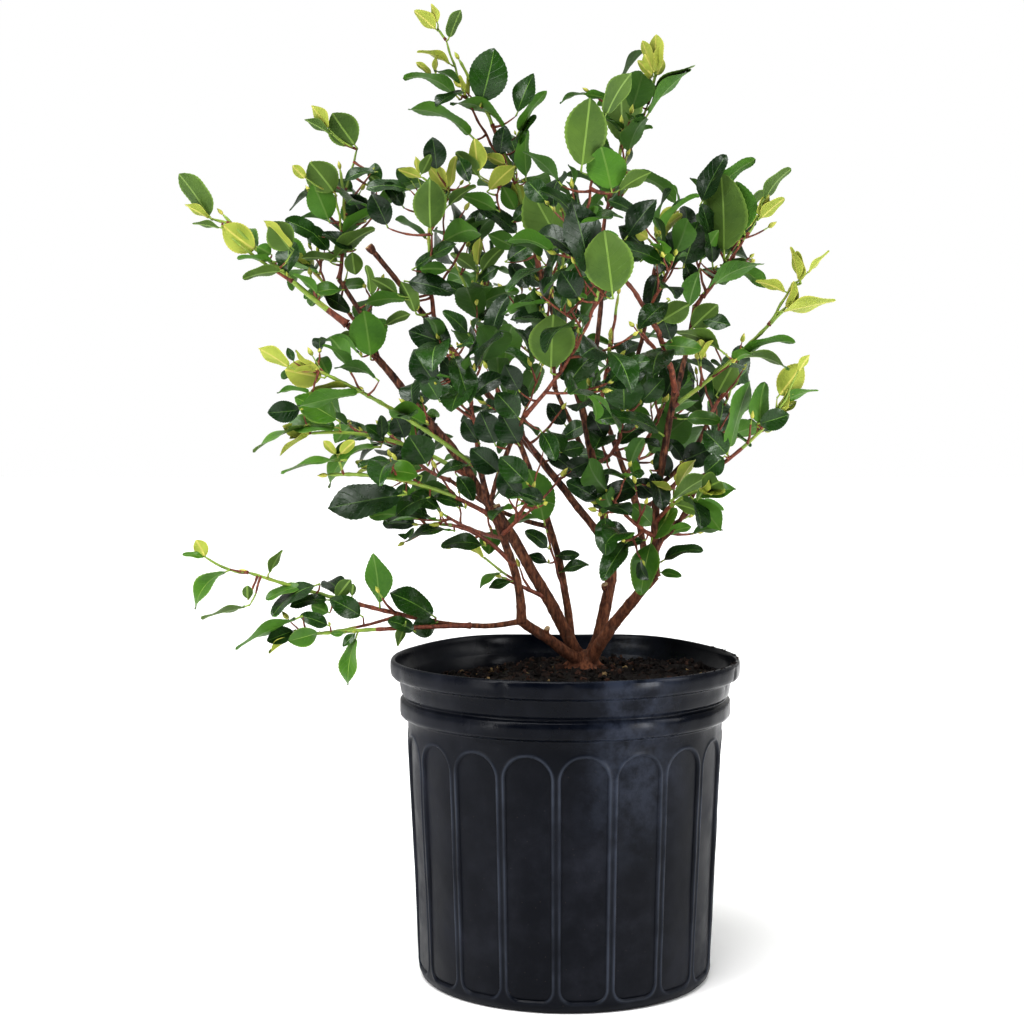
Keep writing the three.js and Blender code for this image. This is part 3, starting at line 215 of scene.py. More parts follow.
# Leading leaves: foot across and down, tip across and down, breadth as it shows, the side that shows and
# the age, and the bend.
LEADING = [
    # top left shoot
    [438, 31, 415, 11, 12, "under young", 0.3], [438, 25, 432, 4, 7, "under young", 0.3],
    [448, 40, 461, 11, 11, "under fresh", 0.3], [453, 66, 417, 53, 4, "edge young", 0.8],
    [435, 76, 437, 54, 4, "edge young", 0.3], [432, 76, 417, 62, 6, "edge young", 0.4],
    [460, 100, 400, 80, 7, "edge mature", 1.3], [480, 107, 497, 51, 36, "upper mature", 0.3],
    [507, 134, 445, 106, 7, "edge mature", 1.5], [475, 140, 404, 114, 8, "edge mature", 1.1],
    [516, 116, 534, 75, 20, "upper mature", 0.3], [517, 136, 546, 92, 8, "under mature", 0.5],
    [516, 150, 537, 117, 9, "upper mature", 0.5], [526, 182, 528, 130, 15, "under mature", 0.4],
    [562, 186, 520, 154, 8, "edge old", 0.9], [500, 158, 503, 126, 18, "upper old", 0.5],
    # young rosettes in the upper middle
    [479, 175, 473, 140, 17, "under young", 0.3], [480, 178, 457, 152, 12, "under fresh", 0.4],
    [507, 165, 486, 155, 10, "under young", 0.4], [487, 192, 513, 165, 16, "under young", 0.3],
    [431, 233, 427, 181, 32, "under fresh", 0.3], [449, 192, 427, 165, 13, "under young", 0.4],
    [449, 190, 456, 157, 9, "under young", 0.3], [424, 178, 398, 171, 8, "edge young", 0.4],
    [418, 178, 416, 157, 6, "under young", 0.2], [420, 176, 432, 156, 10, "under fresh", 0.3],
    [437, 172, 434, 138, 21, "upper old", 0.4], [446, 208, 475, 186, 8, "edge fresh", 0.6],
    [530, 217, 514, 183, 18, "under young", 0.3], [570, 259, 527, 190, 44, "under fresh", 0.3],
    [590, 280, 572, 202, 32, "upper old", 0.3], [613, 299, 606, 232, 44, "under fresh", 0.35],
    [650, 240, 627, 225, 16, "under young", 0.4], [655, 236, 675, 207, 12, "under young", 0.3],
    [658, 235, 681, 214, 10, "under young", 0.3], [683, 268, 698, 223, 32, "upper mature", 0.4],
    [625, 240, 655, 200, 22, "upper old", 0.4],
    # top right
    [622, 148, 620, 77, 36, "under fresh", 0.3], [581, 172, 592, 100, 36, "under fresh", 0.35],
    [604, 118, 630, 73, 18, "under fresh", 0.4], [642, 107, 640, 75, 28, "under mature", 0.4],
    [612, 193, 604, 147, 34, "under mature", 0.5], [655, 76, 654, 36, 14, "under young", 0.2],
    [655, 75, 642, 42, 9, "under young", 0.2], [656, 75, 661, 46, 9, "under young", 0.2],
    [655, 75, 646, 54, 13, "under young", 0.2], [654, 77, 639, 60, 9, "under young", 0.2],
    [656, 77, 663, 60, 10, "under young", 0.2], [647, 110, 694, 66, 10, "edge fresh", 0.6],
    [645, 119, 692, 72, 8, "edge mature", 0.6], [616, 192, 650, 172, 12, "under fresh", 0.4],
    [628, 173, 675, 209, 10, "edge mature", 1.2], [700, 206, 727, 157, 20, "upper old", 0.4],
    [712, 196, 756, 161, 13, "edge mature", 0.7], [724, 259, 721, 176, 41, "under fresh", 0.35],
    [745, 236, 736, 183, 27, "under mature", 0.4], [713, 269, 700, 206, 20, "upper old", 0.4],
    [762, 203, 792, 170, 12, "under fresh", 0.7], [758, 220, 783, 198, 12, "under young", 0.2],
    [757, 217, 770, 196, 9, "under young", 0.3], [703, 294, 765, 265, 14, "edge mature", 0.9],
    [720, 265, 746, 262, 6, "edge fresh", 0.4], [800, 283, 790, 248, 6, "under young", 0.3],
    [801, 284, 797, 252, 5, "under young", 0.3], [805, 275, 829, 252, 5, "under young", 0.2],
    [788, 293, 757, 281, 8, "edge young", 0.5],
    # left top and far left
    [212, 220, 180, 175, 24, "under fresh", 0.3], [212, 219, 185, 206, 8, "under young", 0.3],
    [222, 228, 193, 224, 5, "edge fresh", 0.4], [258, 252, 222, 228, 26, "under young", 0.35],
    [272, 255, 258, 246, 14, "under mature", 0.3], [276, 262, 238, 259, 5, "edge mature", 0.5],
    [284, 270, 244, 281, 9, "edge fresh", 0.6], [292, 252, 270, 224, 27, "under fresh", 0.3],
    [294, 250, 264, 222, 9, "under young", 0.3], [336, 195, 312, 162, 30, "under fresh", 0.3],
    [330, 223, 314, 184, 27, "under mature", 0.35], [307, 179, 292, 167, 10, "under young", 0.3],
    [357, 148, 332, 115, 30, "under fresh", 0.3], [330, 130, 312, 106, 12, "under young", 0.3],
    [332, 134, 305, 120, 8, "under fresh", 0.3], [371, 360, 365, 312, 34, "under mature", 0.4],
    [325, 378, 286, 370, 26, "under young", 0.35], [292, 368, 259, 349, 14, "under young", 0.3],
    [294, 362, 288, 348, 8, "upper mature", 0.3], [417, 315, 403, 282, 16, "under fresh", 0.3],
    [416, 314, 411, 286, 9, "under young", 0.3], [352, 250, 354, 274, 18, "under fresh", 0.4],
    [478, 272, 452, 253, 14, "under fresh", 0.4], [477, 268, 480, 238, 9, "under young", 0.3],
    [480, 274, 503, 246, 14, "edge fresh", 0.8], [320, 237, 285, 222, 18, "upper mature", 0.5],
    [341, 262, 302, 259, 8, "edge fresh", 0.6], [330, 262, 375, 230, 13, "edge fresh", 0.7],
    [340, 236, 380, 212, 12, "edge mature", 0.8], [345, 290, 304, 298, 14, "upper fresh", 0.7],
    [320, 296, 292, 276, 8, "edge mature", 0.8], [355, 332, 338, 342, 10, "under fresh", 0.4],
    [362, 357, 310, 347, 7, "edge mature", 1.6], [379, 381, 332, 370, 9, "edge old", 1.3],
    [384, 326, 410, 314, 10, "edge fresh", 0.8], [378, 172, 344, 182, 12, "upper mature", 0.8],
    [386, 190, 370, 176, 10, "edge fresh", 0.6], [410, 190, 366, 190, 14, "upper mature", 0.8],
    [388, 228, 374, 194, 22, "upper old", 0.4], [366, 222, 350, 195, 22, "upper old", 0.4],
    [410, 300, 365, 304, 12, "edge mature", 0.8], [400, 296, 372, 278, 12, "edge fresh", 0.7],
    [372, 298, 366, 266, 10, "under fresh", 0.4],
    # middle
    [551, 373, 552, 316, 40, "under fresh", 0.35], [583, 409, 596, 358, 26, "under mature", 0.5],
    [624, 414, 624, 372, 36, "upper mature", 0.4], [664, 436, 593, 420, 14, "edge mature", 0.9],
    [725, 354, 664, 338, 10, "edge fresh", 1.1], [777, 312, 834, 301, 11, "under young", 0.1],
    [738, 360, 798, 346, 8, "edge mature", 1.1], [729, 361, 790, 374, 6, "edge fresh", 1.2],
    [777, 398, 803, 366, 24, "under young", 0.3], [797, 373, 809, 355, 8, "under young", 0.3],
    [776, 409, 819, 391, 8, "edge mature", 0.9], [760, 428, 763, 383, 20, "under mature", 0.5],
    [757, 424, 789, 416, 20, "upper mature", 0.6], [727, 454, 750, 383, 19, "under mature", 0.2],
    [716, 396, 734, 363, 25, "under fresh", 0.4], [684, 419, 720, 424, 14, "upper fresh", 0.8],
    [725, 456, 704, 472, 20, "upper mature", 0.6], [660, 322, 688, 304, 20, "under fresh", 0.4],
    [700, 320, 730, 326, 15, "upper mature", 0.5], [660, 345, 700, 352, 18, "upper fresh", 0.5],
    # front right green shoot
    [676, 489, 695, 460, 12, "under young", 0.5], [674, 490, 647, 486, 9, "under young", 0.5],
    [670, 501, 710, 478, 16, "under fresh", 0.5], [698, 499, 736, 489, 11, "upper fresh", 0.5],
    [697, 501, 706, 485, 9, "under fresh", 0.4], [672, 503, 702, 512, 13, "under fresh", 0.5],
    [690, 496, 720, 531, 18, "under mature", 0.5], [652, 538, 642, 594, 24, "upper fresh", 0.3],
    [655, 527, 633, 504, 20, "upper fresh", 0.4], [652, 542, 675, 508, 16, "upper fresh", 0.4],
    [646, 540, 613, 553, 9, "edge mature", 0.8], [661, 562, 704, 550, 9, "edge mature", 0.9],
    [659, 572, 681, 577, 8, "edge fresh", 0.6], [664, 535, 691, 527, 11, "under mature", 0.6],
    [641, 484, 596, 509, 20, "upper old", 0.6], [545, 526, 532, 470, 32, "under mature", 0.35],
    [549, 549, 524, 533, 13, "upper mature", 0.8], [549, 563, 527, 556, 9, "upper old", 0.6],
    [556, 556, 580, 557, 10, "edge mature", 1.0], [559, 573, 590, 566, 9, "edge mature", 0.9],
    # left shoots
    [340, 422, 297, 396, 26, "upper fresh", 0.3], [364, 391, 300, 408, 12, "under mature", 0.2],
    [303, 409, 269, 415, 20, "upper old", 0.3], [340, 428, 287, 427, 16, "upper fresh", 0.4],
    [310, 424, 255, 453, 4, "edge fresh", 0.5], [312, 393, 277, 394, 4, "edge mature", 0.9],
    [337, 455, 323, 442, 8, "under young", 0.3], [339, 455, 354, 441, 10, "under young", 0.3],
    [347, 460, 283, 475, 4, "edge fresh", 0.5], [381, 447, 329, 497, 13, "upper fresh", 1.6],
    [407, 494, 331, 511, 30, "upper old", 0.25], [430, 497, 395, 517, 16, "upper mature", 0.9],
    [441, 521, 385, 527, 5, "edge mature", 0.9], [455, 531, 407, 545, 7, "edge mature", 1.1],
    [486, 546, 441, 547, 13, "upper mature", 0.8], [485, 559, 466, 541, 8, "under young", 0.3],
    [502, 572, 480, 590, 6, "edge fresh", 1.0], [513, 581, 489, 589, 8, "upper mature", 0.6],
    [405, 440, 397, 416, 20, "upper old", 0.4], [428, 466, 410, 436, 33, "upper mature", 0.4],
    [422, 476, 378, 472, 18, "upper fresh", 0.6], [472, 465, 436, 478, 8, "edge mature", 1.0],
    [386, 442, 366, 425, 13, "upper mature", 0.5], [382, 440, 380, 416, 11, "upper mature", 0.4],
    [395, 462, 358, 467, 6, "edge mature", 0.7],
    # low left spray
    [206, 558, 197, 540, 13, "under young", 0.3], [206, 557, 183, 555, 5, "edge fresh", 0.4],
    [230, 570, 195, 612, 15, "upper fresh", 1.25], [268, 575, 283, 551, 7, "under fresh", 0.5],
    [320, 584, 273, 618, 14, "upper mature", 0.9], [305, 586, 267, 601, 9, "upper fresh", 0.6],
    [248, 600, 247, 586, 10, "under fresh", 0.3], [250, 605, 202, 618, 6, "under fresh", 0.15],
    [303, 616, 238, 650, 10, "under mature", 0.35], [296, 630, 268, 642, 15, "upper mature", 0.6],
    [320, 632, 289, 642, 18, "upper fresh", 0.6], [335, 600, 350, 580, 14, "under fresh", 0.4],
    [352, 597, 353, 584, 7, "under fresh", 0.3], [363, 617, 331, 598, 20, "upper mature", 0.5],
    [330, 613, 312, 605, 14, "under mature", 0.4], [380, 608, 374, 555, 24, "under mature", 0.3],
    [436, 618, 390, 594, 22, "upper mature", 0.6], [438, 622, 412, 630, 20, "upper mature", 0.7],
    [406, 621, 399, 646, 8, "under fresh", 0.4], [357, 634, 347, 684, 16, "upper fresh", 0.4],
    [345, 633, 331, 634, 8, "edge fresh", 0.5], [356, 632, 344, 647, 8, "upper mature", 0.5],
    # inner leaves that are seen plainly
    [452, 346, 410, 330, 24, "upper old", 0.5], [440, 385, 412, 358, 22, "upper old", 0.4],
    [470, 388, 440, 360, 22, "upper old", 0.4], [600, 250, 640, 262, 14, "upper mature", 0.7],
    [580, 300, 562, 272, 24, "upper old", 0.4], [660, 268, 652, 310, 18, "upper old", 0.4],
    [700, 268, 690, 306, 18, "under mature", 0.5], [700, 262, 720, 232, 16, "under mature", 0.5],
    [480, 340, 500, 318, 16, "upper mature", 0.6], [520, 420, 498, 392, 22, "upper mature", 0.5],
    [560, 440, 588, 424, 16, "upper mature", 0.7], [610, 470, 590, 498, 16, "upper old", 0.6],
    [650, 470, 664, 510, 18, "upper old", 0.5], [470, 300, 440, 285, 14, "upper mature", 0.8],
    [450, 270, 420, 268, 12, "edge mature", 0.9], [530, 290, 510, 264, 18, "upper old", 0.5],
    [540, 430, 556, 460, 16, "upper mature", 0.6], [575, 455, 610, 462, 14, "upper mature", 0.8],
    [670, 300, 640, 330, 18, "upper mature", 0.6], [612, 345, 584, 340, 8, "edge mature", 0.8],
    # fill of the crown's middle
    [520, 236, 476, 206, 18, "upper old", 0.5], [505, 262, 536, 242, 20, "upper mature", 0.5],
    [520, 250, 488, 236, 16, "under mature", 0.5], [470, 184, 458, 158, 14, "upper mature", 0.4],
    [500, 212, 462, 196, 14, "edge mature", 0.8], [512, 222, 532, 206, 14, "upper mature", 0.5],
    [496, 446, 480, 412, 24, "upper old", 0.5], [520, 446, 500, 414, 26, "upper old", 0.4],
    [500, 474, 472, 448, 24, "upper old", 0.5], [528, 484, 502, 456, 24, "upper mature", 0.5],
    [545, 500, 520, 492, 16, "upper old", 0.5], [480, 444, 462, 420, 18, "upper old", 0.5],
    [560, 474, 590, 462, 20, "upper old", 0.5], [560, 452, 584, 446, 16, "upper mature", 0.5],
    [600, 500, 566, 484, 18, "upper old", 0.5], [655, 498, 636, 480, 20, "upper old", 0.5],
    [680, 462, 710, 448, 24, "upper old", 0.5], [670, 478, 656, 452, 18, "upper old", 0.5],
    [690, 330, 716, 304, 22, "under fresh", 0.4], [672, 342, 662, 314, 18, "upper old", 0.5],
    [436, 384, 412, 352, 26, "upper old", 0.4], [440, 402, 424, 374, 18, "upper mature", 0.5],
    [356, 250, 322, 236, 14, "upper old", 0.5], [352, 314, 324, 296, 14, "upper mature", 0.5],
    [456, 474, 474, 500, 16, "upper mature", 0.6], [466, 508, 430, 500, 10, "edge mature", 0.9],
    [440, 510, 410, 494, 14, "upper mature", 0.7], [566, 426, 548, 404, 18, "upper old", 0.5],
    [606, 440, 590, 412, 20, "upper old", 0.5], [640, 404, 662, 378, 20, "upper mature", 0.5],
    [520, 392, 504, 366, 20, "upper old", 0.5], [476, 284, 500, 268, 14, "upper mature", 0.6],
    [640, 218, 608, 200, 14, "upper mature", 0.6], [646, 250, 618, 228, 18, "upper old", 0.5],
    [404, 208, 384, 184, 14, "upper old", 0.5], [412, 182, 398, 168, 14, "upper mature", 0.5],
    [330, 626, 300, 618, 12, "upper mature", 0.6], [416, 632, 388, 620, 12, "upper mature", 0.6],
    [330, 600, 290, 606, 10, "edge mature", 0.7],
    # more young tips, and fill where the crown was thin
    [466, 98, 459, 76, 5, "under young", 0.2], [468, 97, 470, 74, 4, "under young", 0.2],
    [610, 98, 585, 94, 7, "under mature", 0.3], [520, 500, 500, 472, 22, "upper old", 0.5],
    [412, 270, 456, 246, 14, "upper mature", 0.4], [404, 281, 452, 294, 22, "upper old", 0.5],
    [728, 456, 706, 430, 22, "upper mature", 0.5], [572, 470, 548, 452, 16, "upper old", 0.5],
    [517, 212, 503, 188, 16, "under mature", 0.4], [470, 336, 442, 313, 13, "upper mature", 0.6],
    [697, 292, 682, 262, 16, "upper mature", 0.4], [684, 462, 668, 440, 14, "upper old", 0.5],
    [330, 252, 306, 228, 16, "upper mature", 0.5], [424, 285, 424, 256, 12, "upper mature", 0.5],
]

# Round windows in the crown that the sky shows through: middle across and down, and radius.
WINDOWS = [
    [488, 16, 27], [503, 52, 9], [449, 57, 9], [428, 68, 6], [471, 50, 9], [415, 98, 9],
    [437, 104, 5], [300, 132, 22], [296, 160, 18], [385, 147, 16], [373, 115, 8], [322, 150, 12],
    [300, 184, 12], [178, 222, 24], [224, 196, 18], [264, 194, 13], [200, 262, 18], [226, 276, 11],
    [254, 298, 20], [298, 331, 13], [328, 322, 9], [384, 256, 20], [404, 266, 12], [438, 266, 11],
    [428, 249, 7], [378, 352, 17], [388, 374, 10], [372, 372, 8], [352, 405, 12], [377, 404, 17],
    [268, 466, 19], [290, 482, 18], [314, 492, 12], [345, 458, 6], [298, 514, 20], [276, 502, 14],
    [326, 522, 10], [384, 540, 14], [362, 530, 12], [432, 553, 13], [455, 562, 14], [400, 577, 22],
    [350, 545, 19], [230, 556, 13], [300, 566, 9], [335, 566, 11], [412, 600, 8], [275, 655, 18],
    [302, 672, 24], [330, 652, 10], [476, 515, 11], [520, 540, 8], [560, 532, 18], [585, 516, 12],
    [558, 504, 7], [566, 556, 9], [535, 600, 12], [703, 548, 11], [716, 544, 14], [738, 540, 18],
    [712, 574, 20], [690, 590, 10], [776, 502, 24], [803, 492, 18], [766, 478, 13], [747, 452, 9],
    [802, 447, 20], [832, 452, 14], [781, 462, 14], [737, 402, 9], [706, 352, 5], [792, 328, 14],
    [818, 314, 9], [838, 290, 10], [747, 302, 17], [735, 286, 7], [770, 248, 15], [786, 236, 12],
    [752, 248, 7], [776, 222, 8], [796, 206, 10], [772, 166, 11], [670, 142, 19], [678, 112, 12],
    [656, 152, 10], [692, 130, 12], [616, 54, 16], [590, 84, 8], [568, 76, 12], [598, 60, 10],
    [532, 166, 5], [548, 150, 8], [488, 128, 6], [628, 300, 19], [643, 322, 9], [616, 282, 8],
    [448, 312, 11], [466, 322, 7], [412, 312, 8], [575, 80, 8], [850, 400, 14], [840, 340, 14],
    [560, 120, 12], [540, 60, 20], [395, 60, 14], [380, 100, 14], [250, 150, 30], [210, 160, 14],
    [250, 330, 16], [240, 390, 22], [230, 440, 20], [300, 620, 5], [220, 590, 10], [170, 580, 20],
    [190, 630, 24], [450, 590, 14], [470, 604, 10], [700, 490, 4], [757, 352, 4], [305, 150, 12],
    [338, 152, 12], [358, 160, 9], [396, 161, 8], [500, 118, 12], [640, 160, 12], [655, 186, 8],
    [668, 98, 9], [222, 210, 8], [226, 246, 10], [293, 296, 11], [250, 271, 7], [306, 332, 13],
    [300, 456, 13], [284, 448, 8], [322, 447, 9], [313, 473, 11], [370, 479, 10], [350, 482, 7],
    [390, 480, 7], [485, 566, 10], [228, 560, 8], [254, 568, 9], [277, 582, 6], [372, 643, 12],
    [605, 320, 12], [612, 304, 8], [592, 333, 6], [745, 335, 8], [780, 333, 9], [765, 375, 10],
    [745, 386, 8], [793, 412, 8], [775, 428, 8], [608, 433, 8], [545, 398, 10], [350, 408, 9],
    [372, 413, 9], [445, 540, 7], [330, 603, 5], [215, 240, 8], [640, 205, 5], [760, 328, 9],
    [750, 372, 7], [763, 443, 8], [300, 441, 8], [292, 385, 6], [450, 48, 6], [440, 45, 5],
    [462, 118, 8], [470, 128, 7], [445, 130, 8], [489, 120, 7], [490, 110, 8], [735, 340, 6],
]

# The front view: the eye, how far the camera is turned up from looking straight down, in degrees, the lens
# as a number of picture units, and the picture's middle.
VIEW = {"eye": [-40.2, -1480.0, 440.0], "tilt": 86.6, "lens": 1958, "middle": 512}

# Pruned stubs: [limb, share, run, girth].
STUBS = [
    ["bough_crossing", 1.0, [-50, -5, 63], 2.2],
    ["stem_left_high", 0.72, [-6, -5, 24], 2.2],
    ["stem_centre_low", 0.42, [-2, -8, 19], 1.9],
    ["stem_right_high", 0.88, [3, -4, 17], 1.8],
    ["stem_left_low", 0.55, [1, -5, 8], 1.6],
    ["stem_right_low", 0.5, [5, -1, 7], 1.7],
    ["stem_centre_high", 0.97, [9, -3, 28], 1.6],
]


# ---------------------------------------------------------------- numbers that repeat

def chance(a, b, c):
    """A fixed number from 0 to 1 for three whole numbers: the fraction of a large multiple of a sine."""
    s = math.sin(a * 12.9898 + b * 78.233 + c * 37.719 + SEED) * 43758.5453
    return s - math.floor(s)


def ripple(points, wavelength, seed, waves=7):
    """Smooth unevenness from about -1 to 1: the mean of sines of points . direction / wavelength, times the
    square root of their number, each with its own fixed direction, length and phase."""
    dice = np.random.default_rng(seed)
    directions = dice.normal(size=(waves, points.shape[-1]))
    directions /= np.linalg.norm(directions, axis=1, keepdims=True)
    lengths = wavelength * dice.uniform(0.6, 1.5, waves)
    phases = dice.uniform(0, TURN, waves)
    sines = np.sin(points @ (directions / lengths[:, None]).T * TURN + phases)
    return sines.mean(-1) * math.sqrt(waves) * 0.8


def smooth(edge0, edge1, x):
    """0 below edge0, 1 above edge1, and 3k^2 - 2k^3 between them."""
    k = np.clip((x - edge0) / (edge1 - edge0), 0, 1)
    return k * k * (3 - 2 * k)


def unit(v):
    """A vector, or each of many, divided by its length."""
    return v / np.linalg.norm(v, axis=-1, keepdims=True)


# ---------------------------------------------------------------- meshes from arrays

def make_piece(name, points, faces, materials, face_slots=None, uv=None, rim=None, replaces=(), slot=None):
    """One mesh object from points in mm and lists of faces, all of whose corners are in arrays. An edge
    between two rim points is sharp."""
    mesh = bpy.data.meshes.new(name)
    corners = np.concatenate([f.ravel() for f in faces]).astype(np.int32)
    sizes = np.concatenate([np.full(len(f), f.shape[1]) for f in faces])
    starts = np.concatenate([[0], np.cumsum(sizes)[:-1]]).astype(np.int32)
    mesh.vertices.add(len(points))
    mesh.vertices.foreach_set("co", (points * MM).astype(np.float32).ravel())
    mesh.loops.add(len(corners))
    mesh.loops.foreach_set("vertex_index", corners)
    mesh.polygons.add(len(sizes))
    mesh.polygons.foreach_set("loop_start", starts)
    mesh.update(calc_edges=True)
    mesh.polygons.foreach_set("use_smooth", np.ones(len(sizes), bool))
    for material in materials:
        mesh.materials.append(material)
    if face_slots is not None:
        mesh.polygons.foreach_set("material_index", face_slots.astype(np.int32))
    if uv is not None:
        layer = mesh.uv_layers.new(name="UVMap")
        layer.data.foreach_set("uv", uv[corners].astype(np.float32).ravel())
    if rim is not None:
        ends = np.zeros(len(mesh.edges) * 2, np.int32)
        mesh.edges.foreach_get("vertices", ends)
        sharp = rim[ends.reshape(-1, 2)].all(1)
        mesh.attributes.new("sharp_edge", "BOOLEAN", "EDGE").data.foreach_set("value", sharp)
    mesh.validate()
    piece = bpy.data.objects.new(name, mesh)
    bpy.context.scene.collection.objects.link(piece)
    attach(piece, "root")
    if replaces:
        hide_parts(*replaces)
    return piece


def grid_faces(rows, columns, closed):
    """The quads of a grid of points, row after row. A closed grid's last column joins its first."""
    r, c = np.meshgrid(np.arange(rows - 1), np.arange(columns if closed else columns - 1), indexing="ij")
    near, far, ahead = r * columns, (r + 1) * columns, (c + 1) % columns
    return np.stack([near + c, near + ahead, far + ahead, far + c], -1).reshape(-1, 4)


def end_faces(rows, sides):
    """The triangles that close a tube at both ends, to the two points that come after its rings."""
    ring = np.arange(sides)
    ahead = (ring + 1) % sides
    last = (rows - 1) * sides
    first_end = np.stack([ahead, ring, np.full(sides, rows * sides)], 1)
    last_end = np.stack([last + ring, last + ahead, np.full(sides, rows * sides + 1)], 1)
    return np.concatenate([first_end, last_end])


class Batch:
    """Points, quads and triangles of many small shapes, gathered for one mesh."""

    def __init__(self):
        self.points, self.quads, self.tris, self.quad_slots, self.tri_slots = [], [], [], [], []
        self.count = 0

    def add(self, points, quads, tris, slot=0, quad_slots=None):
        """Adds one shape, all of one material slot unless its quads have slots of their own."""
        self.points.append(points)
        self.quads.append(quads + self.count)
        self.tris.append(tris + self.count)
        self.quad_slots.append(np.full(len(quads), slot) if quad_slots is None else quad_slots)
        self.tri_slots.append(np.full(len(tris), slot))
        self.count += len(points)

    def piece(self, name, materials, **more):
        """The gathered shapes as one object."""
        slots = np.concatenate(self.quad_slots + self.tri_slots)
        faces = [np.concatenate(self.quads), np.concatenate(self.tris)]
        uv = np.zeros((self.count, 2))
        return make_piece(name, np.concatenate(self.points), faces, materials, slots, uv, **more)


# ---------------------------------------------------------------- paths

class Path:
    """A run from foot to tip, pushed sideways by a parabola that is `bow` at its middle, tapering from
    thick to thin."""

    def __init__(self, foot, tip, bow, thick, thin):
        self.foot, self.tip, self.bow = (np.array(v, float) for v in (foot, tip, bow))
        self.thick, self.thin = thick, thin

    def at(self, t):
        """foot + (tip - foot) t + bow 4 t (1 - t)."""
        t = np.asarray(t, float)[..., None]
        return self.foot + (self.tip - self.foot) * t + self.bow * 4 * t * (1 - t)

    def heading(self, t):
        """The unit vector along tip - foot + bow 4 (1 - 2 t)."""
        t = np.asarray(t, float)[..., None]
        return unit(self.tip - self.foot + self.bow * 4 * (1 - 2 * t))

    def across(self, t):
        """Two directions square to the heading, which never flip over along the path."""
        chord = unit(self.tip - self.foot)
        reference = np.array([0.0, 1.0, 0.0]) if abs(chord[2]) > 0.8 else UP
        heading = self.heading(t)
        side = unit(np.cross(heading, reference))
        return side, np.cross(side, heading)

    def girth(self, t):
        """The radius at share t."""
        return self.thick + (self.thin - self.thick) * np.asarray(t, float)

    def length(self):
        """The straight distance from foot to tip."""
        return float(np.linalg.norm(self.tip - self.foot))


def foot_of(start):
    """A limb's foot: a point, or a share of the way along another limb."""
    return limbs[start[0]].at(start[1]) if isinstance(start, tuple) else start


limbs = {}
for limb_name, (start, tip, bow, thick, thin) in LIMBS.items():
    limbs[limb_name] = Path(foot_of(start), tip, bow, thick, thin)


def mass_stem(start, tip, bow):
    """A mass's own stem, from its bough to short of the furthest tip, which its last leaf reaches."""
    stem = Path(limbs[start[0]].at(start[1]), tip, bow, SHOOT["girth"], SHOOT["tip"])
    stem.tip = stem.tip - stem.heading(1.0) * SHOOT["short"] * LEAF["length"]
    if start[1] == 1:
        stem.thick = limbs[start[0]].thin
    return stem


stems = [mass_stem(*entry[:3]) for entry in MASSES.values()]

# ---------------------------------------------------------------- the front view

EYE = np.array(VIEW["eye"])
TILT = math.radians(VIEW["tilt"])
RIGHT = np.array([1.0, 0.0, 0.0])
RISE = np.array([0.0, math.cos(TILT), math.sin(TILT)])
AHEAD = np.array([0.0, math.sin(TILT), -math.cos(TILT)])


def shown(points):
    """Where points stand in the front view's picture: the lens times their offset across and down over
    their depth."""
    off = points - EYE
    depth = off @ AHEAD
    across = VIEW["middle"] + VIEW["lens"] * (off @ RIGHT) / depth
    return np.stack([across, VIEW["middle"] - VIEW["lens"] * (off @ RISE) / depth], -1)


def place_at(across, down, y):
    """The point with this y that the front view's picture has at this place."""
    off_across, off_down = across - VIEW["middle"], down - VIEW["middle"]
    ray = AHEAD + RIGHT * off_across / VIEW["lens"] - RISE * off_down / VIEW["lens"]
    return EYE + ray * (y - EYE[1]) / ray[1]


UNIT = -EYE[1] / VIEW["lens"]  # the size of a picture unit at the pot's middle, in millimetres


def carrier_points(paths):
    """Points 4 mm apart along some limbs and stems, which leading leaves may hang from."""
    return [path.at(np.linspace(0.05, 1, max(6, int(path.length() / 4)))) for path in paths]


def nearest_carrier(across, down, runs):
    """The carrier point that shows nearest to a place, nearer ones first, and how far off it shows."""
    places = np.concatenate(runs)
    off = np.linalg.norm(shown(places) - [across, down], axis=1) * UNIT
    best = int(np.argmin(off + 0.1 * places[:, 1]))
    return places[best], float(off[best])


# ---------------------------------------------------------------- room: each mass keeps to its own space

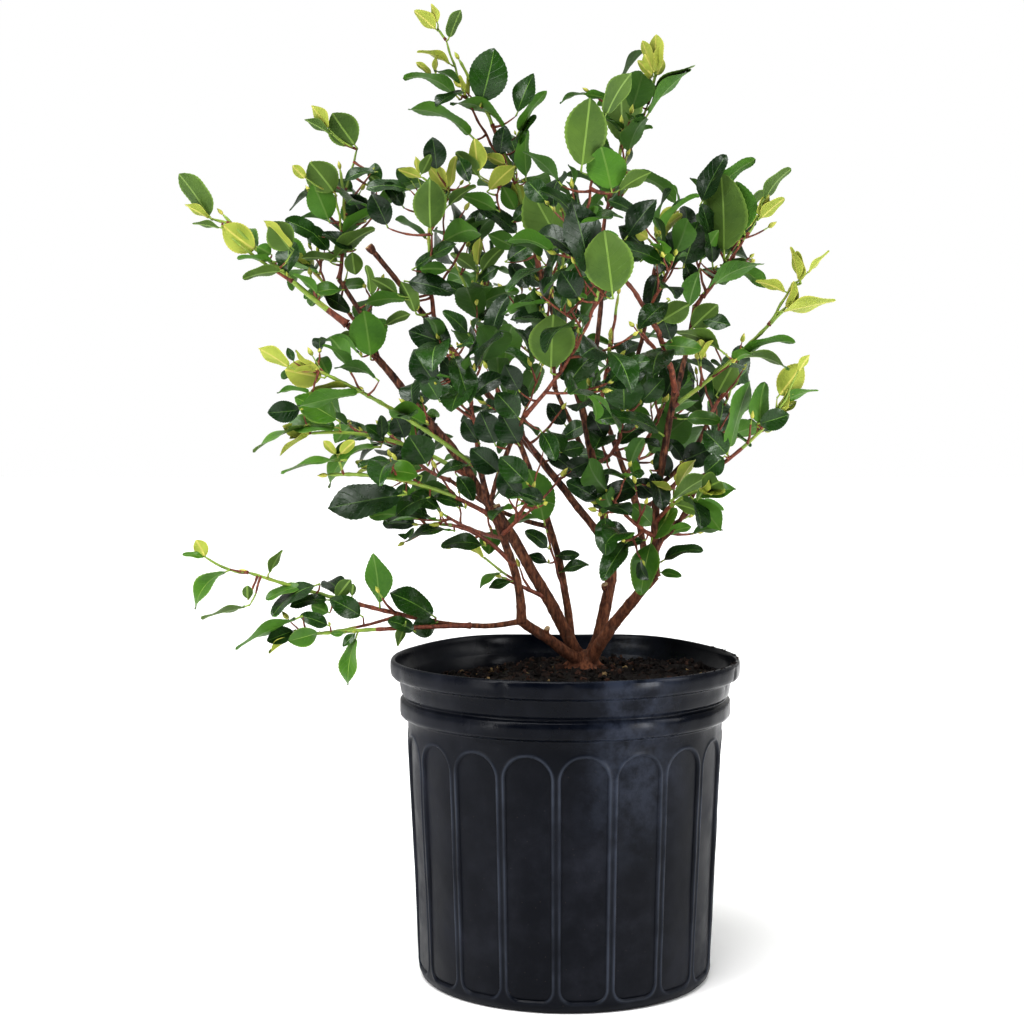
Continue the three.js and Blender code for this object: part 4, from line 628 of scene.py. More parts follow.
class Room:
    """What is near a point: the masses' stems, the limbs, and the leaves and twigs placed so far."""

    def __init__(self):
        self.spines = np.stack([stem.at(np.linspace(0, 1, 13)) for stem in stems])
        shares = np.linspace(0, 1, 41)
        self.limb_points = np.concatenate([limb.at(shares) for limb in limbs.values()])
        self.limb_radii = np.concatenate([limb.girth(shares) for limb in limbs.values()])
        self.taken = np.zeros((ROOM["most"], 3))
        self.count = 0

    def has_room(self, points, index, clearance):
        """True if every point is nearest to its own stem, by a margin, and clear of limbs, pot and leaves."""
        near = np.linalg.norm(points[:, None, None] - self.spines, axis=-1).min(-1)
        low = points[:, 2] <= POT_RIM["height"] + ROOM["limb"]
        over_pot = np.hypot(points[:, 0], points[:, 1]) <= POT_RIM["radius"] + ROOM["foliage"]
        if (low & over_pot).any():
            return False
        own = near[:, index] + ROOM["margin"]
        near[:, index] = np.inf
        if (near <= own[:, None]).any():
            return False
        to_limbs = np.linalg.norm(points[:, None] - self.limb_points, axis=-1)
        if (to_limbs <= self.limb_radii + ROOM["limb"]).any():
            return False
        if self.in_window(points):
            return False
        to_taken = ((points[:, None] - self.taken[: self.count]) ** 2).sum(-1)
        return not (to_taken <= clearance**2).any()

    def in_window(self, points):
        """True where a point shows in one of the front view's windows."""
        windows = np.array(WINDOWS, float)
        off = np.linalg.norm(shown(points)[:, None] - windows[:, :2], axis=-1)
        return bool((off < windows[:, 2]).any())

    def take(self, points):
        """Remembers the points of a leaf or a twig."""
        self.taken[self.count : self.count + len(points)] = points
        self.count += len(points)


room = Room()

# ---------------------------------------------------------------- the rule of growth

LEAF_ROWS = [[0.33, 0.9], [0.52, 0.95], [0.7, 0.8], [0.86, 0.4]]


def leaf_points(leaf):
    """Sample points of a leaf: five across each of four rows, and its tip."""
    half = leaf["size"] * LEAF["width"] / 2
    side = np.cross(leaf["face"], leaf["way"])
    rows = [
        leaf["root"] + leaf["way"] * share * leaf["size"] + side * out * half * k
        for share, out in LEAF_ROWS
        for k in (-1, -0.5, 0, 0.5, 1)
    ]
    return np.array([*rows, leaf["root"] + leaf["way"] * leaf["size"]])


def twig_points(path):
    """Sample points along the outer three quarters of a twig, about 6 mm apart."""
    count = math.ceil(path.length() * 0.75 / 6)
    return path.at(0.25 + 0.75 * np.arange(count + 1) / count)


def nodes_of(path, index, shoot, first, spacing):
    """The nodes of a shoot: even steps from the share `first`, each turned a third of a turn and
    jittered."""
    count = max(1, round(path.length() * (1 - first) / spacing))
    nodes = []
    for k in range(count):
        t = first + (1 - first) * (k + 0.35) / count
        flat = (k + index + shoot) % 3
        turn = (1 + 2 * flat) * math.pi / 3 + LEAF["jitter"] * (chance(index, shoot, 10 + k) - 0.5)
        side, rise = path.across(t)
        out = side * math.sin(turn) + rise * math.cos(turn)
        node = {"t": t, "k": k, "share": (k + 0.35) / count, "out": out}
        nodes.append({**node, "heading": path.heading(t), "root": path.at(t)})
    return nodes


def twigs_at(node, entry, index, stem):
    """A side twig at a node, at each length that is tried for it."""
    angle = math.radians(TWIG["angle"])
    way = unit(node["heading"] * math.cos(angle) + node["out"] * math.sin(angle) + UP * entry[5])
    length = entry[3] * (1 - 0.5 * node["t"]) * (0.8 + 0.4 * chance(index, node["k"], 2))
    thick = TWIG["share"] * float(stem.girth(node["t"]))
    lengths = [share * length for share in TWIG["lengths"] if share * length > TWIG["shortest"]]
    root, thin = node["root"], TWIG["tip"] * thick
    return [Path(root, root + way * reach, UP * -TWIG["sag"] * reach, thick, thin) for reach in lengths]


def leaves_at(node, index, shoot):
    """A leaf at a node, at each size that is tried for it. It leans out less towards the shoot's tip."""
    last = node["share"] == 1
    lean = 0.12 if last else math.radians(LEAF["spread"] - LEAF["closing"] * node["share"] ** 2)
    way = unit(node["heading"] * math.cos(lean) + node["out"] * math.sin(lean) + UP * LEAF["lift"])
    face = node["heading"] + UP * 0.8 - node["out"] * (1 if last else 0)
    face = unit(face - way * face.dot(way))
    roll = math.radians(LEAF["roll"]) * (2 * chance(index, shoot, 70 + node["k"]) - 1)
    face = face * math.cos(roll) + np.cross(way, face) * math.sin(roll)
    own = 0.84 + 0.26 * chance(index, shoot, 40 + node["k"])
    size = LEAF["length"] * own * (1 - 0.2 * node["share"] ** 4)
    leaf = {"root": node["root"], "way": way, "face": face}
    return [{**leaf, "size": size * share} for share in LEAF["sizes"]]


leaves = []  # every leaf: root, way, face, size and age, and later its bend, fold, sway, wave and breadth
shoots = []  # every stem and twig of the masses: path and greenness
tips = []  # the end of every shoot: place, heading and greenness
sprays = []  # the shoots and stalks that carry the leading leaves
carriers = carrier_points([*limbs.values(), *stems])  # points that those shoots and leaves may hang from


def carry(place, thin, green):
    """A short twig to a place from the nearest limb, stem or spray, thicker the longer it is."""
    paths = [*limbs.values(), *stems, *(spray["path"] for spray in sprays[: len(SPRAYS)])]
    points = np.concatenate([path.at(np.linspace(0.03, 1, 60)) for path in paths])
    foot = points[np.linalg.norm(points - place, axis=1).argmin()]
    reach = float(np.linalg.norm(place - foot))
    if reach < CARRY["shortest"]:
        return None
    path = Path(foot, place, UP * -CARRY["sag"] * reach, thin + CARRY["thicker"] * reach, thin)
    return {"path": path, "green": green, "index": 60, "shoot": len(sprays)}


def add_sprays():
    """The shoots that stand clear of the crown, each from the limb or stem that shows nearest its foot."""
    for foot_across, foot_down, across, down, radius, green, back in SPRAYS:
        foot, off = nearest_carrier(foot_across, foot_down, carriers)
        tip = place_at(across, down, foot[1] - 0.35 * off + back)
        carriers.append(foot + (tip - foot) * np.linspace(0.15, 1, 8)[:, None])
        joint = carry(foot, radius, green)
        start = joint["path"].foot if joint else foot
        sag = UP * -CARRY["spray_sag"] * np.linalg.norm(tip - foot)
        path = Path(start, tip, sag, radius, CARRY["spray_tip"])
        sprays.append({"path": path, "green": green, "index": 60, "shoot": len(sprays)})
        room.take(twig_points(path))


def leading_run(number, foot, across, down, side):
    """A leading leaf's run from foot to tip, which leans towards the eye by a share of its length."""
    flat = float(np.linalg.norm(place_at(across, down, foot[1]) - foot))
    lean = LEADER["lean"][side] + LEADER["spread"] * (np.random.default_rng(number).random() - 0.5)
    return place_at(across, down, foot[1] + lean * flat) - foot


def leading_breadth(side, breadth, length):
    """How broad a leading leaf is, as a multiple of the usual, and how squarely it faces the eye."""
    usual = LEADER["breadth"] * length
    if side == "edge":
        wide = LEADER["edge"]
    elif breadth > LEADER["slim"]:
        wide = max(1.0, breadth * UNIT / usual)
    else:
        wide = LEADER["narrow"]
    return wide, min(1.0, breadth * UNIT / (usual * wide))


def add_leading():
    """The leading leaves. Each faces the front by its share f: its face is f times the front, plus sqrt(1 -
    f^2) times the direction that is square to the front and to the leaf, on the sky's side."""
    for number, (foot_across, foot_down, across, down, breadth, kind, bend) in enumerate(LEADING):
        side, age = kind.split()
        near, off = nearest_carrier(foot_across, foot_down, carriers)
        further = LEADER["broad_out"] * max(0, breadth - LEADER["broad"])
        out = LEADER["out"] * off + LEADER["clear"] + further
        foot = place_at(foot_across, foot_down, max(LEADER["nearest"], near[1] - out))
        run = leading_run(number, foot, across, down, side)
        wide, facing = leading_breadth(side, breadth, float(np.linalg.norm(run)))
        low_edge = side == "edge" and foot_down > LEADER["eye_level"]
        turned = 1 if side == "upper" or low_edge else -1
        way = unit(run)
        front = unit(np.array([0, -1, 0]) + way * way[1])
        sky = np.cross(way, front)
        sky = sky if sky[2] > 0 else -sky
        face = unit(front * facing * turned + sky * math.sqrt(max(0, 1 - facing**2)))
        size = LEADER["longer"] * float(np.linalg.norm(run))
        leaf = {"root": foot, "way": way, "face": face, "size": size, "age": GREENNESS[age]}
        leaf |= {"kind": age, "bend": bend, "breadth": wide}
        leaves.append(leaf)
        room.take(leaf_points(leaf))
        twig = carry(foot, CARRY["thin"], GREENNESS[age])
        if twig:
            sprays.append(twig)
            room.take(twig_points(twig["path"]))


def first_that_fits(candidates, points_of, index, clearance):
    """The first of some leaves or twigs that has room, which it then takes."""
    for one in candidates:
        points = points_of(one)
        if room.has_room(points, index, clearance):
            room.take(points)
            return one
    return None


def keep_leaf(leaf, node, green):
    """Lists a leaf with its age, from 0 for an old one to 1 for one that has just opened."""
    if leaf is None:
        return
    leaf["age"] = green * smooth(0.45, 1.0, node["share"])
    leaves.append(leaf)


def grow(path, entry, index, shoot, bears_twigs):
    """Grows one shoot with its leaves, then its side twigs, in the order in which the solids have them."""
    green = entry[6] if shoot == 0 else entry[6] * (0.1 + 0.75 * chance(index, shoot, 5) ** 2)
    nodes = nodes_of(path, index, shoot, 0.06 if shoot == 0 else TWIG["first"], SHOOT["spacing"])
    rate = entry[4] / len(nodes) if bears_twigs else 0
    borne = []
    for k, node in enumerate(nodes):
        if math.floor((k + 1) * rate) > math.floor(k * rate):
            choices = twigs_at(node, entry, index, path)
            twig = first_that_fits(choices, twig_points, index, ROOM["foliage"])
            if twig:
                borne.append((k + 1, twig))
        elif shoot > 0 or node["share"] >= LEAF["first"]:
            leaf = first_that_fits(leaves_at(node, index, shoot), leaf_points, index, ROOM["foliage"])
            keep_leaf(leaf, node, green)
    heading = path.heading(1.0)
    end = {"k": len(nodes), "share": 1, "out": nodes[-1]["out"], "heading": heading, "root": path.tip}
    leaf = first_that_fits(leaves_at(end, index, shoot), leaf_points, index, ROOM["foliage"])
    keep_leaf(leaf, end, green)
    shoots.append({"path": path, "green": green, "index": index, "shoot": shoot})
    tips.append({"place": path.tip, "heading": heading, "green": green, "number": (index, shoot)})
    for number, twig in borne:
        grow(twig, entry, index, number, False)


def add_finer(shoot):
    """Finer growth on a shoot: twiglets from the gaps between its nodes, with two to four small leaves
    each. They are closer together behind, where the crown has no leading leaves."""
    path, index, number = shoot["path"], shoot["index"], shoot["shoot"]
    apart = TWIGLET["apart_behind"] if path.at(0.5)[1] > TWIGLET["behind"] else TWIGLET["apart"]
    for node in nodes_of(path, index + 40, number, 0.3, apart):
        angle = math.radians(TWIGLET["angle"])
        way = unit(node["heading"] * math.cos(angle) - node["out"] * math.sin(angle) + UP * TWIGLET["lift"])
        reach = TWIGLET["reach"] * (0.5 + 0.6 * chance(index, number, 90 + node["k"]))
        sag = UP * -TWIGLET["sag"] * reach
        twiglet = Path(node["root"], node["root"] + way * reach, sag, TWIGLET["thick"], TWIGLET["thin"])
        if not room.has_room(twig_points(twiglet), index, ROOM["finer"]):
            continue
        green = TWIGLET["green"] * shoot["green"]
        small = nodes_of(twiglet, index + 80, number + node["k"], 0.35, TWIGLET["spacing"])
        last = {"k": 9, "share": 1, "heading": twiglet.heading(1.0), "root": twiglet.tip}
        small.append({**small[-1], **last})
        grown = []
        for bud in small:
            whole = leaves_at(bud, index, number + 7)
            choices = [{**leaf, "size": leaf["size"] * TWIGLET["leaf"]} for leaf in whole]
            leaf = first_that_fits(choices, leaf_points, index, ROOM["finer"])
            if leaf:
                keep_leaf(leaf, bud, green)
                grown.append(leaf)
        if grown:
            shoots.append({"path": twiglet, "green": green, "index": index, "shoot": -1})
            tip = {"place": twiglet.tip, "heading": way, "green": green, "number": (index + 80, number)}
            tips.append(tip)


add_sprays()
add_leading()
for mass_index, mass_entry in enumerate(MASSES.values()):
    grow(stems[mass_index], mass_entry, mass_index, 0, True)
for grown_shoot in list(shoots):
    add_finer(grown_shoot)
shoots += sprays

# ---------------------------------------------------------------- materials

def srgb(red, green, blue):
    """A colour given from 0 to 255 as the shader's linear one: ((c + 0.055) / 1.055) ^ 2.4, or c / 12.92
    when dark."""
    c = np.array([red, green, blue]) / 255
    return tuple(np.where(c > 0.04045, ((c + 0.055) / 1.055) ** 2.4, c / 12.92)) + (1.0,)


class Finish:
    """A material in the making: a principled shader whose colour, roughness and bump follow patterns."""

    def __init__(self, name, roughness, specular=0.5, coat=0.0):
        self.material = bpy.data.materials.new(name)
        self.material.use_nodes = True
        self.nodes = self.material.node_tree.nodes
        self.links = self.material.node_tree.links
        self.shader = self.nodes["Principled BSDF"]
        self.shader.inputs["Roughness"].default_value = roughness
        self.shader.inputs["Specular IOR Level"].default_value = specular
        self.shader.inputs["Coat Weight"].default_value = coat
        self.shader.inputs["Coat Roughness"].default_value = 0.15
        self.place = self.nodes.new("ShaderNodeTexCoord").outputs["Object"]
        self.normal = None

    def stretched(self, scale):
        """Object coordinates scaled by three factors."""
        mapping = self.nodes.new("ShaderNodeMapping")
        mapping.inputs["Scale"].default_value = scale
        self.links.new(self.place, mapping.inputs["Vector"])
        return mapping.outputs["Vector"]

    def noise(self, scale, detail=3.0, rough=0.55, vector=None):
        """Cloudy noise with `scale` patches a metre."""
        node = self.nodes.new("ShaderNodeTexNoise")
        node.inputs["Scale"].default_value = scale
        node.inputs["Detail"].default_value = detail
        node.inputs["Roughness"].default_value = rough
        self.links.new(vector or self.place, node.inputs["Vector"])
        return node.outputs["Fac"]

    def grains(self, scale):
        """The distance to the nearest of `scale` scattered points a metre."""
        node = self.nodes.new("ShaderNodeTexVoronoi")
        node.inputs["Scale"].default_value = scale
        self.links.new(self.place, node.inputs["Vector"])
        return node.outputs["Distance"]

    def parts(self, vector):
        """The X, Y and Z of a vector."""
        node = self.nodes.new("ShaderNodeSeparateXYZ")
        self.links.new(vector, node.inputs["Vector"])
        return node.outputs

    def own_map(self):
        """The parts of the mesh's own map."""
        return self.parts(self.nodes.new("ShaderNodeTexCoord").outputs["UV"])

    def ramp(self, value, stops):
        """Colours at places from 0 to 1, mixed between them."""
        node = self.nodes.new("ShaderNodeValToRGB")
        elements = node.color_ramp.elements
        for extra in stops[2:]:
            elements.new(extra[0])
        for element, (place, colour) in zip(sorted(elements, key=lambda e: e.position), sorted(stops)):
            element.position, element.color = place, colour
        self.links.new(value, node.inputs["Fac"])
        return node.outputs["Color"]

    def span(self, value, low, high, to_low, to_high):
        """A value between low and high carried to the range from to_low to to_high."""
        node = self.nodes.new("ShaderNodeMapRange")
        for key, number in zip(("From Min", "From Max", "To Min", "To Max"), (low, high, to_low, to_high)):
            node.inputs[key].default_value = number
        self.links.new(value, node.inputs["Value"])
        return node.outputs["Result"]

    def math(self, operation, a, b=None):
        """One sum on two values or numbers."""
        node = self.nodes.new("ShaderNodeMath")
        node.operation = operation
        for socket, value in zip(node.inputs, (a, b)):
            if isinstance(value, (int, float)):
                socket.default_value = value
            elif value is not None:
                self.links.new(value, socket)
        return node.outputs[0]

    def mix(self, share, a, b):
        """Colour a where the share is 0 and colour b where it is 1."""
        node = self.nodes.new("ShaderNodeMix")
        node.data_type = "RGBA"
        self.links.new(share, node.inputs["Factor"])
        for socket, value in ((node.inputs[6], a), (node.inputs[7], b)):
            if isinstance(value, tuple):
                socket.default_value = value
            else:
                self.links.new(value, socket)
        return node.outputs[2]

    def colour(self, value):
        """Drives the base colour."""
        self.links.new(value, self.shader.inputs["Base Color"])

    def roughness(self, value):
        """Drives the roughness."""
        self.links.new(value, self.shader.inputs["Roughness"])

    def bump(self, height, distance, strength=1.0):
        """Adds relief of a height in metres to what is there already."""
        node = self.nodes.new("ShaderNodeBump")
        node.inputs["Distance"].default_value = distance
        node.inputs["Strength"].default_value = strength
        self.links.new(height, node.inputs["Height"])
        if self.normal:
            self.links.new(self.normal, node.inputs["Normal"])
        self.normal = node.outputs["Normal"]
        self.links.new(self.normal, self.shader.inputs["Normal"])


def veins(finish):
    """A leaf's side veins and its rim from its own map: 1 on thin lines that run from the midrib outwards
    and forwards, and 1 at the rim."""
    own = finish.own_map()
    off_middle = finish.math("ABSOLUTE", finish.math("SUBTRACT", own["X"], 0.5))
    along, outwards = finish.math("MULTIPLY", own["Y"], 7.5), finish.math("MULTIPLY", off_middle, 4.2)
    phase = finish.math("SUBTRACT", along, outwards)
    wave = finish.math("ABSOLUTE", finish.math("SINE", finish.math("MULTIPLY", phase, math.pi)))
    return finish.span(wave, 0.0, 0.22, 1.0, 0.0), finish.span(off_middle, 0.42, 0.5, 0.0, 0.8)


def blade_finish(name, colours, roughness, rough_spread, vein_tint, specular, coat, relief):
    """A leaf's skin: two greens in clouds, paler side veins, a rim of its own colour, uneven gloss, and a
    quilted surface."""
    deep, light, edge = colours
    finish = Finish(name, roughness, specular, coat)
    lines, rim = veins(finish)
    cloud = finish.span(finish.noise(38, 2.0), 0.34, 0.66, 0, 1)
    body = finish.mix(cloud, deep, light)
    mottle = finish.span(finish.noise(420, 3.0), 0.35, 0.7, 0, 0.35)
    body = finish.mix(mottle, body, light)
    body = finish.mix(finish.math("MULTIPLY", lines, vein_tint), body, light)
    finish.colour(finish.mix(rim, body, edge))
    glossy, dull = roughness - rough_spread, roughness + rough_spread
    finish.roughness(finish.span(finish.noise(170, 4.0), 0.3, 0.7, glossy, dull))
    finish.bump(lines, 0.0005, 0.35)
    finish.bump(finish.noise(260, 2.0), 0.0009, relief)
    return finish.material


# Leaf ages: [upper deep, upper light, under deep, under light, midrib].
AGES = {
    "old": [(11, 32, 9), (22, 50, 15), (48, 80, 28), (62, 96, 34), (70, 100, 42)],
    "mature": [(20, 48, 12), (38, 72, 20), (60, 102, 30), (78, 120, 36), (94, 130, 48)],
    "fresh": [(50, 92, 20), (76, 118, 30), (64, 90, 36), (84, 110, 44), (118, 146, 64)],
    "young": [(112, 128, 40), (146, 152, 54), (134, 148, 56), (162, 170, 76), (188, 184, 92)],
}


def leaf_materials(age):
    """The three finishes of one age of leaf: upper side, underside and midrib."""
    deep, light, under_deep, under_light, rib = [srgb(*c) for c in AGES[age]]
    grown = age in ("old", "mature")
    gloss, relief = (0.3, 0.5) if grown else (0.38, 0.2)
    top = (deep, light, light if grown else rib)
    below = (under_deep, under_light, under_light if grown else rib)
    upper = blade_finish(f"leaf_{age}_upper", top, gloss, 0.1, 0.3, 0.33, 0.12, relief)
    under = blade_finish(f"leaf_{age}_under", below, 0.55, 0.08, 0.25, 0.25, 0.0, 0.4 * relief)
    midrib = Finish(f"leaf_{age}_midrib", 0.45)
    darker = tuple(0.8 * np.array(rib[:3])) + (1.0,)
    midrib.colour(midrib.ramp(midrib.noise(90), [(0.3, rib), (0.7, darker)]))
    midrib.bump(midrib.noise(700), 0.0003, 0.4)
    return [upper, under, midrib.material]


def bark_finish():
    """Old bark: red-brown plates between dark cracks along the stem, redder low down, with grey scurf."""
    finish = Finish("bark_old", 0.82, 0.3)
    along = finish.stretched((1, 1, 0.28))
    cracks = finish.noise(420, 5.0, 0.65, along)
    stops = [(0.34, srgb(26, 16, 14)), (0.5, srgb(82, 50, 38)), (0.68, srgb(144, 96, 70))]
    plates = finish.ramp(cracks, stops)
    low = finish.span(finish.parts(finish.place)["Z"], 0.25, 0.36, 0.6, 0)
    ruddy = finish.math("MULTIPLY", low, finish.span(cracks, 0.3, 0.7, 0.3, 1))
    plates = finish.mix(ruddy, plates, srgb(120, 72, 44))
    scurf = finish.span(finish.noise(150, 4.0, 0.7), 0.56, 0.72, 0, 0.45)
    finish.colour(finish.mix(scurf, plates, srgb(118, 96, 82)))
    finish.bump(cracks, 0.0012, 0.9)
    finish.bump(finish.noise(1500, 3.0), 0.0004, 0.5)
    return finish.material


def twig_finish():
    """One-year wood: smooth red-brown bark with fine pale lines along it."""
    finish = Finish("bark_young", 0.55, 0.4)
    lines = finish.noise(520, 4.0, 0.6, finish.stretched((1, 1, 0.4)))
    stops = [(0.32, srgb(74, 38, 30)), (0.55, srgb(122, 66, 48)), (0.75, srgb(158, 100, 72))]
    finish.colour(finish.ramp(lines, stops))
    finish.bump(lines, 0.0006, 0.6)
    return finish.material


def cut_finish():
    """Cut wood: pale tan with darker weathered patches."""
    finish = Finish("cut_wood", 0.8, 0.25)
    stops = [(0.35, srgb(128, 106, 80)), (0.65, srgb(186, 164, 130))]
    finish.colour(finish.ramp(finish.noise(500, 4.0), stops))
    finish.bump(finish.noise(900, 3.0), 0.0005, 0.5)
    return finish.material


def green_finish():
    """This year's shoot: yellow-green skin, redder on patches that the sun has reached."""
    finish = Finish("shoot_green", 0.45, 0.45)
    stops = [(0.35, srgb(112, 136, 58)), (0.6, srgb(138, 160, 66)), (0.75, srgb(150, 122, 70))]
    finish.colour(finish.ramp(finish.noise(60, 2.0), stops))
    finish.bump(finish.noise(800, 3.0), 0.0003, 0.4)
    return finish.material


def bud_finish():
    """Bud scales: yellow-green with warm tips."""
    finish = Finish("bud_scales", 0.42, 0.5)
    finish.colour(finish.ramp(finish.noise(240), [(0.35, srgb(148, 160, 60)), (0.65, srgb(186, 180, 84))]))
    finish.bump(finish.grains(900), 0.0004, 0.4)
    return finish.material


def pot_finish():
    """Moulded black plastic: satin, glossier from the neck up, with cloudy handling marks, a thin dusty film,
    the wall greyer towards the left, a painted highlight higher up just right of the middle, beads painted
    lighter as highlight lines, and fine ripples."""
    finish = Finish("pot_black_plastic", 0.3, 0.12)
    smear = finish.span(finish.noise(14, 5.0, 0.6), 0.42, 0.72, 0, 1)
    specks = finish.span(finish.grains(150), 0.0, 0.09, 1, 0)
    dust_and_greying = finish.math("MULTIPLY", smear, finish.span(finish.noise(55, 5.0, 0.7), 0.35, 0.7, 0.2, 1))
    place = finish.parts(finish.place)
    # The wall is greyer towards the left, in patches; this greying is added to the dusty film.
    left = finish.span(place["X"], -0.11, -0.03, 0.45, 0)
    left = finish.math("MULTIPLY", left, finish.span(finish.noise(30, 4.0), 0.3, 0.6, 0.3, 1))
    dust_and_greying = finish.math("ADD", dust_and_greying, left)
    # Painted highlight: a lighter, blotchy patch higher up, just right of the middle, in place of a light's
    # reflection.
    right = finish.math("ABSOLUTE", finish.math("SUBTRACT", place["X"], 0.045))
    right = finish.span(right, 0.012, 0.045, 1, 0)
    right = finish.math("MULTIPLY", right, finish.span(place["Z"], 0.09, 0.18, 0, 1))
    painted_sheen = finish.math("MULTIPLY", right, finish.span(finish.noise(48, 5.0, 0.7), 0.4, 0.62, 0.15, 1))
    body = finish.mix(dust_and_greying, srgb(2, 5, 14), srgb(32, 34, 42))
    body = finish.mix(finish.math("MULTIPLY", painted_sheen, 0.6), body, srgb(58, 64, 78))
    # Painted highlights: the beads round the panels are painted lighter, in patches, as the lines where the
    # wall would catch the lights.
    bead_highlight_patches = finish.span(finish.noise(24, 3.0), 0.35, 0.65, 0.1, 0.6)
    bead = finish.math("MULTIPLY", finish.own_map()["Y"], bead_highlight_patches)
    body = finish.mix(bead, body, srgb(70, 76, 88))
    finish.colour(finish.mix(finish.math("MULTIPLY", specks, 0.3), body, srgb(80, 70, 62)))
    uneven = finish.span(finish.math("ADD", dust_and_greying, finish.noise(32, 3.0)), 0.35, 1.4, 0.1, 0.4)
    finish.roughness(finish.math("ADD", uneven, finish.span(place["Z"], 0.188, 0.2, 0.18, 0.04)))
    finish.bump(finish.noise(26, 2.0), 0.004, 0.25)
    finish.bump(finish.noise(900, 2.0), 0.0002, 0.35)
    return finish.material


def mix_finish(name, deep, light, roughness=0.9):
    """Damp ground bark: two browns in small clouds, with a crumbly surface."""
    finish = Finish(name, roughness, 0.25)
    finish.colour(finish.ramp(finish.noise(600, 5.0, 0.7), [(0.35, deep), (0.68, light)]))
    finish.bump(finish.noise(900, 5.0, 0.7), 0.0012, 0.8)
    return finish.material


# ---------------------------------------------------------------- leaves

ROWS = np.concatenate([[0.03, 0.07], np.linspace(0.12, 0.94, 24), [0.97]])
TOOTH = 0.011  # how far the teeth of a leaf's rim stand out, as a share of its length
UPPER = np.array([-1, -0.55, -0.035, 0.035, 0.55, 1])
UNDER = np.array([-0.075, 0.075])
LEAF_VERTS = 2 + len(ROWS) * (len(UPPER) + len(UNDER))


def half_width(s):
    """Half a blade's width: s^0.78 (1 - s)^0.8 (1 - 0.25 s^8) as a share of its greatest value."""
    t = np.linspace(0, 1, 200)
    shape, whole = (v**0.78 * (1 - v) ** 0.8 * (1 - 0.25 * v**8) for v in (s, t))
    return shape / whole.max()


def leaf_template():
    """The corners of one leaf's faces. Its points are its foot, its tip, and for each row six across the
    upper side and two along the underside's rib. The two sides share their rims."""
    wide = len(UPPER)
    row = 2 + np.arange(len(ROWS)) * (wide + len(UNDER))
    up = row[:, None] + np.arange(wide)
    low = np.stack([up[:, 0], row + wide, row + wide + 1, up[:, -1]], 1)
    quads, tris, quad_slots, tri_slots = [], [], [], []
    for rings, slots, flip in ((up, [0, 0, 2, 0, 0], False), (low, [1, 2, 1], True)):
        strips = np.arange(rings.shape[1] - 1)
        near, far = rings[:-1], rings[1:]
        quad = np.stack([near[:, strips], near[:, strips + 1], far[:, strips + 1], far[:, strips]], -1)
        foot = np.stack([np.zeros_like(strips), rings[0, strips + 1], rings[0, strips]], -1)
        head = np.stack([np.ones_like(strips), rings[-1, strips], rings[-1, strips + 1]], -1)
        order = slice(None, None, -1) if flip else slice(None)
        quads.append(quad.reshape(-1, 4)[:, order])
        tris.append(np.concatenate([foot, head])[:, order])
        quad_slots.append(np.tile(slots, len(ROWS) - 1))
        tri_slots.append(np.tile(slots, 2))
    rim = np.zeros(LEAF_VERTS, bool)
    rim[[0, 1, *up[:, 0], *up[:, -1]]] = True
    return [np.concatenate(part) for part in (quads, tris, quad_slots, tri_slots)] + [rim]


def blade_points(root, way, face, size, bend, fold, sway, wave, breadth):
    """Every point of every leaf. The midrib turns from bend / 2 above the way to bend / 2 below it, so its
    run is the integral of way cos a + face sin a with a = bend (1/2 - s). A side point lies u times the
    half width out, raised by the fold, and curved by u^2. Every other row's rim stands out by a tooth. The
    underside's rib lies below by the blade's thickness and its own."""
    side = np.cross(face, way)
    s = np.concatenate([[0, 1], ROWS])
    blade = size * (1 - BLADE["stalk"])
    angle = bend[:, None] * (0.5 - s)
    forward = (np.sin(bend / 2)[:, None] - np.sin(angle)) / bend[:, None]
    upward = (np.cos(angle) - np.cos(bend / 2)[:, None]) / bend[:, None]
    stalk_way = way * np.cos(bend / 2)[:, None] + face * np.sin(bend / 2)[:, None]
    start = root + stalk_way * (size * BLADE["stalk"])[:, None]
    drift = sway[:, None] * s**2
    run = forward[..., None] * way[:, None] + upward[..., None] * face[:, None]
    middle = start[:, None] + blade[:, None, None] * (run + drift[..., None] * side[:, None])
    normal = face[:, None] * np.cos(angle)[..., None] - way[:, None] * np.sin(angle)[..., None]
    half = (size * breadth * BLADE["width"] / 2)[:, None] * half_width(s)
    half, middle_rows, normal_rows = half[:, 2:], middle[:, 2:], normal[:, 2:]
    u = np.abs(UPPER)
    lift = u * np.sin(fold)[:, None, None] - 0.32 * u**2 * np.sin(fold)[:, None, None]
    lift = lift * half[..., None]
    rim_wave = np.sin(TURN * (1.4 * ROWS + wave[:, None])) * 0.035 * size[:, None]
    lift = lift + u * rim_wave[..., None] * np.sign(UPPER)
    groove = np.where(u < 0.1, BLADE["groove"], 0)
    out = half[..., None] * UPPER * np.cos(fold)[:, None, None]
    teeth = np.where(u > 0.9, TOOTH, 0) * UPPER * (np.arange(len(ROWS)) % 2)[:, None]
    out = out + teeth * size[:, None, None]
    upper = middle_rows[:, :, None] + out[..., None] * side[:, None, None]
    upper = upper + (lift - groove)[..., None] * normal_rows[:, :, None]
    rib_out = np.minimum(half[..., None] * 0.5, 0.7) * np.sign(UNDER)
    drop = BLADE["thick"] + BLADE["rib"] * (1 - ROWS) ** 0.7
    under = middle_rows[:, :, None] + rib_out[..., None] * side[:, None, None]
    under = under - drop[:, None, None] * normal_rows[:, :, None]
    rows = np.concatenate([upper, under], 2).reshape(len(root), -1, 3)
    return np.concatenate([middle[:, :2], rows], 1)


